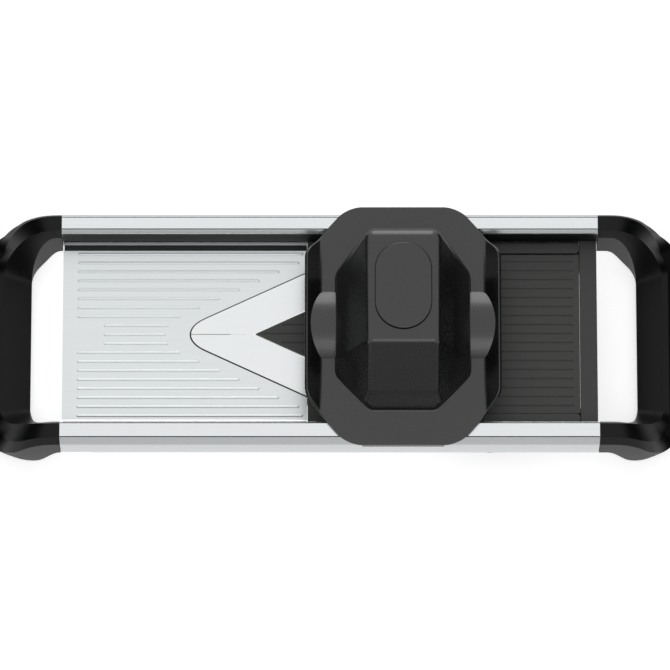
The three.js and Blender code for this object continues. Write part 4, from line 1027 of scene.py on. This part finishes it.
DIAL_RADIUS = 12.2
DIAL_RIPPLE = 0.3
DIAL_RIPPLES = 24
DIAL_STEPS = 12 * DIAL_RIPPLES
DIAL_INNER = RAIL_OUTER + PLAY
DIAL_OUTER = DIAL_INNER + 1.1
GRIP_TOP = DIAL_OUTER + 0.8
GRIP_HALF_WIDTH = 2
GRIP_HALF_LENGTH = 9.76
GRIP_SUNK = 0.5
GRIP_ROUND = 0.6
GRIP_EASE = 0.4
DIAL_EASE = 0.25
DIAL_BORE = 1.3
HEAD_BORE = 2.7
HEAD_DEPTH = 1.2
HEAD_RADIUS = 2.4
HEAD_CROWN = 1.9
HEAD_THICKNESS = 0.9
HEAD_SHOULDER = 0.4
HEAD_SUNK = 0.02
STEM_RADIUS = 1
STEM_LENGTH = 5
SLOT_HALF_LENGTH = 1.8
SLOT_HALF_WIDTH = 0.3
SLOT_DEPTH = 0.5
SLOT_EASE = 0.05
MARKS = 10
MARK_PITCH = 34
FIRST_MARK = 27
MARK_HALF = 0.25
MARK_HEIGHT = 0.25
MARK_SUNK = 0.3
MARK_ROUND = 0.15
MARK_OUTER = 11.2
MARK_INNER = 10.1
LONG_MARK_INNER = 9.4
MARK_EASE = 0.08
rim = []
for step in range(DIAL_STEPS):
    angle = 2 * math.pi * step / DIAL_STEPS
    radius = DIAL_RADIUS + DIAL_RIPPLE * math.cos(DIAL_RIPPLES * angle)
    rim.append([radius * math.cos(angle), radius * math.sin(angle)])
dial = eased(prism("y", [rim], DIAL_INNER, DIAL_OUTER), DIAL_EASE, least=60)
grip = eased(prism("z", [rectangle(
    -GRIP_HALF_WIDTH, GRIP_HALF_WIDTH, DIAL_OUTER - GRIP_SUNK, GRIP_TOP, 0, GRIP_ROUND,
)], -GRIP_HALF_LENGTH, GRIP_HALF_LENGTH), GRIP_EASE, least=60)
dial = combined(dial, grip, "UNION")
high = GRIP_TOP + OVERRUN
for radius, low in ((DIAL_BORE, DIAL_INNER - OVERRUN), (HEAD_BORE, GRIP_TOP - HEAD_DEPTH)):
    dial = combined(dial, turned_shape(
        "y", [(0, low), (radius, low), (radius, high), (0, high)], ROUND_STEPS), "DIFFERENCE")
for mark in range(MARKS):
    tick = eased(prism("z", [rectangle(
        -MARK_HALF, MARK_HALF, DIAL_OUTER - MARK_SUNK, DIAL_OUTER + MARK_HEIGHT, 0, MARK_ROUND,
    )], LONG_MARK_INNER if mark % 3 == 0 else MARK_INNER, MARK_OUTER), MARK_EASE, least=60)
    bmesh.ops.rotate(
        tick, verts=tick.verts[:],
        matrix=Matrix.Rotation(math.radians(FIRST_MARK + MARK_PITCH * mark), 3, "Y"))
    dial = combined(dial, tick, "UNION")
make_piece(
    on_shaft(dial), "thickness_dial_moulding", satin_black_abs, "cams",
    ["thickness_dial"])
head_bottom = GRIP_TOP - HEAD_THICKNESS
head_top = GRIP_TOP - HEAD_SUNK
dial_screw = combined(
    turned_shape("y", [
        (0, SHAFT_REAR - STEM_LENGTH), (STEM_RADIUS, SHAFT_REAR - STEM_LENGTH),
        (STEM_RADIUS, head_bottom), (HEAD_RADIUS - HEAD_EASE, head_bottom),
        (HEAD_RADIUS, head_bottom + HEAD_EASE), (HEAD_RADIUS, GRIP_TOP - HEAD_SHOULDER),
        (HEAD_CROWN, head_top), (0, head_top)], ROUND_STEPS),
    eased(prism("y", [rectangle(-SLOT_HALF_LENGTH, SLOT_HALF_LENGTH, -SLOT_HALF_WIDTH, SLOT_HALF_WIDTH)],
                GRIP_TOP - SLOT_DEPTH, GRIP_TOP + OVERRUN), SLOT_EASE),
    "DIFFERENCE")
make_piece(
    on_shaft(dial_screw), "dial_screw_turned", turned_stainless, "cams",
    ["dial_screw"])

# Food guard: one black ABS moulding that slides on the rail tops. Its plate turns up at both
# ends, has a hump for a finger at each end, and carries a hollow dome with faceted sides.
GUARD_X = 41.3
FLANGE_BOTTOM = RAIL_TOP + PLAY
GUARD_SHEET = 2.2
FLANGE_TOP = FLANGE_BOTTOM + GUARD_SHEET
GUARD_HALF_LENGTH = 57.6
GUARD_HALF_WIDTH = 72
STRAIGHT_SIDE = 32.5
STRAIGHT_END = 43.5
SIDE_CORNER = 18.6
BEND_STEPS = 8
END_STEPS = 12
LIP_HALF_LENGTH = 24
LIP_INNER = 70.4
LIP_OUTER = 71.9
LIP_DEPTH = 3
LIP_CORNER = 0.3
GUARD_EASE = 0.4
PLATE_EASE = 0.5
UPTURN_ANGLE = math.radians(48)
UPTURN_TOP = RAIL_TOP + 11.6
BEND_RADIUS = 6.7
END_RADIUS = 12
EAR_HALF = 20.2
EAR_HEIGHT = 6.8
EAR_STEPS = 32
EAR_TOP_GAP = 1
EAR_FOOT = 0.6
EAR_SPAN = 30
EAR_WALL = 0.5
DOME_HALF_LENGTH = 39.35
DOME_HALF_WIDTH = 51.7
DOME_CORNER = (18.81, 31)
DOME_TOP_HALF = 19.8
DOME_TOP = FLANGE_TOP + 34
DOME_WALL = 2.4
DOME_SIDE_TOP = FLANGE_TOP + 7.5
DOME_RADIUS_FRONT = 4.5
DOME_RADIUS_BACK = 7.5
DOME_CREASE = 18
DOME_SHOULDER = 43
DOME_SHOULDER_TOP = FLANGE_TOP + 12
COLLAR_BOTTOM = RAIL_TOP - 12
COLLAR_ROUND = 2
COLLAR_RISE = 0.8
DOME_TOE = 8
SLEEVE_WALL = 2
SLEEVE_BOTTOM = DOME_TOP - 10.4
SLEEVE_TOP = DOME_TOP - 1.2
OPENING_BOTTOM = DOME_TOP - 12
OPENING_TOP = DOME_TOP + 6
CHAMBER_OVERRUN = 6
DOME_BLOCK = 200
COARSE_WELD = 0.01
FLARE_START = 1
FLARE_STEPS = ((0.15, 0.5), (0.45, 0.36), (0.6, 0.14), (0.3, 0.4))
BUTTON_Y = DOME_HALF_WIDTH - 36.9
BUTTON_HALF_WIDTH = 16.4
BUTTON_HALF_LENGTH = 26
BUTTON_STEPS = 36
BUTTON_SEAT = 1.2
BUTTON_SLACK = 0.4
BUTTON_TOP = DOME_TOP + 1.5
SEAT_HEIGHT = DOME_TOP - 1.5


def dome_block(inset, bottom, toe):
    """The dome as a block cut down by its planes, each moved in by an amount."""
    shape = bmesh.new()
    bmesh.ops.create_cube(shape, size=DOME_BLOCK * MM)
    corner_length, corner_width = DOME_CORNER
    side_lean = math.atan2(DOME_HALF_LENGTH - DOME_TOP_HALF, DOME_TOP - DOME_SIDE_TOP)
    planes = [
        ((0, 0, bottom), (0, 0, -1)), ((0, 0, DOME_TOP), (0, 0, 1)),
        ((0, DOME_HALF_WIDTH, FLANGE_TOP), (0, DOME_TOP - FLANGE_TOP, 1)),
        ((0, DOME_HALF_WIDTH, FLANGE_TOP), (0, 1, 0)),
        ((0, -DOME_HALF_WIDTH - toe, FLANGE_TOP), (0, -1, 0)),
        ((0, -DOME_HALF_WIDTH, FLANGE_TOP),
         (0, FLANGE_TOP - DOME_SHOULDER_TOP, DOME_HALF_WIDTH - DOME_SHOULDER)),
        ((0, -DOME_SHOULDER, DOME_SHOULDER_TOP),
         (0, DOME_SHOULDER_TOP - DOME_TOP, DOME_SHOULDER - DOME_CREASE)),
    ]
    for end in (1, -1):
        crease = Vector((end * DOME_TOP_HALF, -DOME_CREASE, DOME_TOP))
        shoulder = Vector((end * DOME_TOP_HALF, -DOME_SHOULDER, DOME_SHOULDER_TOP))
        foot = Vector((end * DOME_HALF_LENGTH, -corner_width, FLANGE_TOP))
        planes += [
            ((end * DOME_HALF_LENGTH, 0, DOME_SIDE_TOP), (end, 0, 0)),
            ((end * DOME_HALF_LENGTH, 0, DOME_SIDE_TOP),
             (end * math.cos(side_lean), 0, math.sin(side_lean))),
            (crease, (shoulder - crease).cross(foot - crease) * end),
        ]
        for side in (1, -1):
            planes.append((
                (end * DOME_HALF_LENGTH, side * corner_width, 0),
                (end * (DOME_HALF_WIDTH - corner_width), side * (DOME_HALF_LENGTH - corner_length), 0)))
    for spot, facing in planes:
        normal = Vector(facing).normalized()
        bmesh.ops.contextual_create(shape, geom=sliced(shape, Vector(spot) - normal * inset, normal))
    return welded(shape, COARSE_WELD)


def rounded_dome(wall, bottom, toe):
    """The dome with round edges, wide at the back and tighter in front: balls that touch its
    planes stand in the corners and one skin is drawn around them."""
    shape = bmesh.new()
    for radius, back in ((DOME_RADIUS_FRONT, False), (DOME_RADIUS_BACK, True)):
        block = dome_block(radius, bottom - (radius - wall), toe)
        for vert in block.verts:
            if (vert.co.y > 0) == back:
                bmesh.ops.create_icosphere(
                    shape, subdivisions=4, radius=(radius - wall) * MM,
                    matrix=Matrix.Translation(vert.co))
        block.free()
    welded(shape, COARSE_WELD)
    skin = bmesh.ops.convex_hull(shape, input=shape.verts[:])
    spare = {part for key in ("geom_interior", "geom_unused") for part in skin[key]
             if isinstance(part, bmesh.types.BMVert)}
    bmesh.ops.delete(shape, geom=list(spare), context="VERTS")
    bmesh.ops.dissolve_limit(
        shape, angle_limit=math.radians(0.3), verts=shape.verts[:], edges=shape.edges[:])
    bmesh.ops.recalc_face_normals(shape, faces=shape.faces[:])
    return shape


# The plate is cut flat and then bent up at both ends, so its rim keeps an even thickness.
BEND_START = (GUARD_HALF_LENGTH - (UPTURN_TOP - GUARD_SHEET * math.cos(UPTURN_ANGLE) - FLANGE_BOTTOM)
              / math.tan(UPTURN_ANGLE) - BEND_RADIUS * math.tan(UPTURN_ANGLE / 2))
BEND_LENGTH = BEND_RADIUS * UPTURN_ANGLE
BEND_END = BEND_START + BEND_RADIUS * math.sin(UPTURN_ANGLE)


def unrolled(across):
    """Where a place on the bent plate lies along the flat one."""
    if across > BEND_END:
        return BEND_START + BEND_LENGTH + (across - BEND_END) / math.cos(UPTURN_ANGLE)
    return BEND_START + BEND_RADIUS * math.asin((across - BEND_START) / BEND_RADIUS)


corner_slope = (GUARD_HALF_WIDTH - STRAIGHT_END) / (GUARD_HALF_LENGTH - STRAIGHT_SIDE)
corner_angle = math.atan(1 / corner_slope)
corner_end = GUARD_HALF_LENGTH - END_RADIUS * (1 - math.cos(corner_angle))
round_place = (GUARD_HALF_WIDTH - (corner_end - STRAIGHT_SIDE) * corner_slope
               - END_RADIUS * math.sin(corner_angle))
quarter = [[STRAIGHT_SIDE, GUARD_HALF_WIDTH, SIDE_CORNER]]
for step in range(BEND_STEPS + 1):
    across = mixed(BEND_START, corner_end, step / BEND_STEPS)
    quarter.append([unrolled(across), GUARD_HALF_WIDTH - (across - STRAIGHT_SIDE) * corner_slope])
for step in range(1, END_STEPS + 1):
    angle = corner_angle * (1 - step / END_STEPS)
    quarter.append([
        unrolled(GUARD_HALF_LENGTH - END_RADIUS * (1 - math.cos(angle))),
        round_place + END_RADIUS * math.sin(angle)])
plan = [[a, -b, *r] for a, b, *r in quarter] + [[a, b, *r] for a, b, *r in reversed(quarter)]
plan += [[-a, b, *r] for a, b, *r in quarter] + [[-a, -b, *r] for a, b, *r in reversed(quarter)]
plate = eased(prism("z", [plan], FLANGE_BOTTOM, FLANGE_TOP), PLATE_EASE, least=60, segments=3)
for step in range(BEND_STEPS + 1):
    for end in (1, -1):
        bend_line = end * (BEND_START + BEND_LENGTH * step / BEND_STEPS)
        sliced(plate, (bend_line, 0, 0), (1, 0, 0), clear=False)
for vert in plate.verts:
    past = abs(vert.co.x) / MM - BEND_START
    if past <= 0:
        continue
    angle = min(past / BEND_RADIUS, UPTURN_ANGLE)
    wall = max(past - BEND_LENGTH, 0)
    depth = BEND_RADIUS - (vert.co.z / MM - FLANGE_BOTTOM)
    across = BEND_START + depth * math.sin(angle) + wall * math.cos(UPTURN_ANGLE)
    height = FLANGE_BOTTOM + BEND_RADIUS - depth * math.cos(angle) + wall * math.sin(UPTURN_ANGLE)
    vert.co = Vector((math.copysign(across, vert.co.x), vert.co.y / MM, height)) * MM

ear_radius = (EAR_HALF ** 2 + EAR_HEIGHT ** 2) / (2 * EAR_HEIGHT)
ear_spread = math.asin(EAR_HALF / ear_radius)


def ear_outline(inset, bottom):
    """The arch of the finger humps, seen from the end."""
    arch = []
    for step in range(EAR_STEPS + 1):
        angle = ear_spread * (1 - 2 * step / EAR_STEPS)
        arch.append([
            (ear_radius - inset) * math.sin(angle),
            FLANGE_TOP + EAR_HEIGHT - ear_radius + (ear_radius - inset) * math.cos(angle)])
    return [*arch, [arch[-1][0], bottom], [arch[0][0], bottom]]


middle_foot = (BEND_START + BEND_RADIUS * math.tan(UPTURN_ANGLE / 2)
               - GUARD_SHEET / 2 / math.sin(UPTURN_ANGLE))
ear_levels = (UPTURN_TOP - EAR_TOP_GAP, FLANGE_BOTTOM + EAR_FOOT)
within = [[side * (middle_foot + (up - FLANGE_BOTTOM) / math.tan(UPTURN_ANGLE)), up]
          for side in (-1, 1) for up in ear_levels[::-side]]
ears = combined(
    prism("x", [ear_outline(0, FLANGE_BOTTOM)], -GUARD_HALF_LENGTH, GUARD_HALF_LENGTH),
    prism("y", [within], -EAR_SPAN, EAR_SPAN), "INTERSECT")
guard = combined(plate, ears, "UNION")
collar = prism("z", [[
    [end * across, side * along, COLLAR_ROUND]
    for end, side, order in ((1, -1, 1), (1, 1, -1), (-1, 1, 1), (-1, -1, -1))
    for across, along in (
        (DOME_CORNER[0], DOME_HALF_WIDTH), (DOME_HALF_LENGTH, DOME_CORNER[1]))[::order]
]], COLLAR_BOTTOM, FLANGE_BOTTOM + COLLAR_RISE)
guard = combined(guard, eased(collar, GUARD_EASE, least=60), "UNION")

# The dome's foot flares out a little where it meets the plate
dome = rounded_dome(0, FLANGE_TOP - DOME_TOE, DOME_TOE)
foot = sliced(dome, (0, 0, FLANGE_TOP + FLARE_START), (0, 0, -1))
for spread, drop in FLARE_STEPS:
    made = bmesh.ops.extrude_edge_only(dome, edges=foot)["geom"]
    foot = [part for part in made if isinstance(part, bmesh.types.BMEdge)]
    moves = {}
    for vert in {vert for edge in foot for vert in edge.verts}:
        normals = Vector((0, 0, 0))
        for edge in vert.link_edges:
            if edge in foot:
                along = edge.verts[1].co - edge.verts[0].co
                side_normal = Vector((along.y, -along.x, 0)).normalized()
                middle = (edge.verts[0].co + edge.verts[1].co) / 2
                normals += side_normal if side_normal.dot(middle) > 0 else -side_normal
        normals.normalize()
        moves[vert] = normals * spread * MM + Vector((0, 0, -drop * MM))
    for vert, move in moves.items():
        vert.co += move
bmesh.ops.contextual_create(dome, geom=foot)
bmesh.ops.recalc_face_normals(dome, faces=dome.faces[:])
guard = combined(guard, dome, "UNION")

lips = [eased(prism("z", [rectangle(
    -LIP_HALF_LENGTH, LIP_HALF_LENGTH, side * LIP_INNER, side * LIP_OUTER, LIP_CORNER, LIP_CORNER,
)], RAIL_TOP - LIP_DEPTH, FLANGE_TOP - 1), GUARD_EASE, least=60) for side in (1, -1)]
guard = combined(guard, gathered(lips), "UNION")
guard = combined(guard, rounded_dome(DOME_WALL, COLLAR_BOTTOM - CHAMBER_OVERRUN, 0), "DIFFERENCE")
for side in (1, -1):
    hollow = prism("x", [ear_outline(GUARD_SHEET, FLANGE_BOTTOM - OVERRUN)],
                   *sorted((side * DOME_HALF_LENGTH, side * (BEND_START + EAR_WALL))))
    guard = combined(guard, hollow, "DIFFERENCE")


def button_outline(grow):
    """The oval of the push button, wider by an amount all round."""
    half, straight = BUTTON_HALF_WIDTH + grow, BUTTON_HALF_LENGTH - BUTTON_HALF_WIDTH
    turns = [math.pi * step / BUTTON_STEPS for step in range(BUTTON_STEPS + 1)]
    return [
        [end * half * math.cos(angle), BUTTON_Y + end * (straight + half * math.sin(angle))]
        for end in (1, -1) for angle in turns]


sleeve = prism(
    "z", [button_outline(BUTTON_SLACK - BUTTON_SEAT + SLEEVE_WALL)], SLEEVE_BOTTOM, SLEEVE_TOP)
guard = combined(guard, sleeve, "UNION")
for grow, low in (
    (BUTTON_SLACK - BUTTON_SEAT, OPENING_BOTTOM), (BUTTON_SLACK, SEAT_HEIGHT - PLAY),
):
    guard = combined(guard, prism("z", [button_outline(grow)], low, OPENING_TOP), "DIFFERENCE")
make_piece(
    moved(guard, GUARD_X, 0, 0), "guard_shell_moulding", satin_black_abs, "guard",
    ["guard_shell"], crease=35)

# Pusher: a hollow oval piston whose top is the push button, slightly dished for the fingers. A
# plate with stainless prongs is screwed to its lower end and holds the food.
PISTON_BOTTOM = RAIL_TOP - 0.9
PISTON_WALL = 2
PUSHER_TOP = PISTON_BOTTOM - PLAY
PUSHER_BOTTOM = PUSHER_TOP - 2.5
COMB_TOP = PUSHER_BOTTOM - PLAY
COMB_BOTTOM = COMB_TOP - 1
COMB_HALF_WIDTH = 17
COMB_HALF_LENGTH = 27
COMB_CORNER = 6
COMB_EASE = 0.2
BUTTON_EASE = 0.8
DISH_STEPS = ((1.2, 0), (0.9, 0.22), (2.2, 0.12), (2.6, 0.12), (3, 0.12))
CROWN_WALL = 1
PISTON_OVERLAP = 0.5
BOSS_RADIUS = 4.2
BOSS_HOLE = 10
PRONG_PITCH = 10.5
PRONG_LENGTH = 9.5
PRONG_RADIUS = 1.1
PRONG_TIP = 0.15
PRONG_ROOT = 0.5
SCREW_BORE = 1.8
button = prism("z", [button_outline(0)], SEAT_HEIGHT, BUTTON_TOP)
top_faces = [face for face in button.faces if face.normal.z > 0.9]
for thickness, depth in DISH_STEPS:
    bmesh.ops.inset_region(button, faces=top_faces, thickness=thickness * MM, depth=-depth * MM)
rim_edges = [
    edge for edge in button.edges
    if all(abs(vert.co.z / MM - BUTTON_TOP) < FINE_WELD for vert in edge.verts)
    and edge.calc_face_angle(0) > math.radians(60)
]
bevelled(button, rim_edges, BUTTON_EASE, segments=4, clamp=False)
piston = combined(
    button,
    prism("z", [button_outline(-BUTTON_SEAT)], PISTON_BOTTOM, SEAT_HEIGHT + PISTON_OVERLAP), "UNION")
piston = combined(piston, prism(
    "z", [button_outline(-BUTTON_SEAT - PISTON_WALL)], PISTON_BOTTOM - OVERRUN,
    SEAT_HEIGHT - CROWN_WALL), "DIFFERENCE")
boss = turned_shape("z", [
    (SCREW_BORE, PISTON_BOTTOM), (BOSS_RADIUS, PISTON_BOTTOM), (BOSS_RADIUS, SEAT_HEIGHT),
    (0, SEAT_HEIGHT), (0, PISTON_BOTTOM + BOSS_HOLE), (SCREW_BORE, PISTON_BOTTOM + BOSS_HOLE),
    (SCREW_BORE, PISTON_BOTTOM)], 40)
piston = combined(piston, moved(boss, 0, BUTTON_Y, 0), "UNION")
make_piece(
    moved(piston, GUARD_X, 0, 0), "pusher_piston_moulding", satin_black_abs, "pusher",
    ["pusher_piston"], crease=35)
make_piece(
    eased_copy("pusher_plate", 0.4), "pusher_plate_moulding", satin_black_abs, "pusher",
    ["pusher_plate"])

comb = eased(prism("z", [rectangle(
    -COMB_HALF_WIDTH, COMB_HALF_WIDTH, BUTTON_Y - COMB_HALF_LENGTH, BUTTON_Y + COMB_HALF_LENGTH,
    COMB_CORNER, COMB_CORNER,
)], COMB_BOTTOM, COMB_TOP), COMB_EASE, least=60)
prongs = bmesh.new()
for column in (-1, 0, 1):
    for row in range(-2, 3):
        if column == 0 and row == 0:
            continue
        made = bmesh.ops.create_cone(
            prongs, cap_ends=True, segments=20, radius1=PRONG_TIP * MM, radius2=PRONG_RADIUS * MM,
            depth=PRONG_LENGTH * MM)
        bmesh.ops.translate(prongs, verts=made["verts"], vec=Vector((
            column * PRONG_PITCH, BUTTON_Y + row * PRONG_PITCH,
            COMB_BOTTOM + PRONG_ROOT - PRONG_LENGTH / 2)) * MM)
comb = combined(comb, prongs, "UNION")
bore = turned_shape("z", [
    (0, COMB_BOTTOM - OVERRUN), (SCREW_BORE, COMB_BOTTOM - OVERRUN),
    (SCREW_BORE, COMB_TOP + OVERRUN), (0, COMB_TOP + OVERRUN)], 32)
comb = combined(comb, moved(bore, 0, BUTTON_Y, 0), "DIFFERENCE")
make_piece(
    moved(comb, GUARD_X, 0, 0), "prong_comb_steel", ground_stainless, "pusher",
    ["prong_comb"], crease=40)
add_screw(
    "pusher_screw", "pusher", LARGE_SCREW, (GUARD_X, BUTTON_Y, COMB_BOTTOM - PLAY))
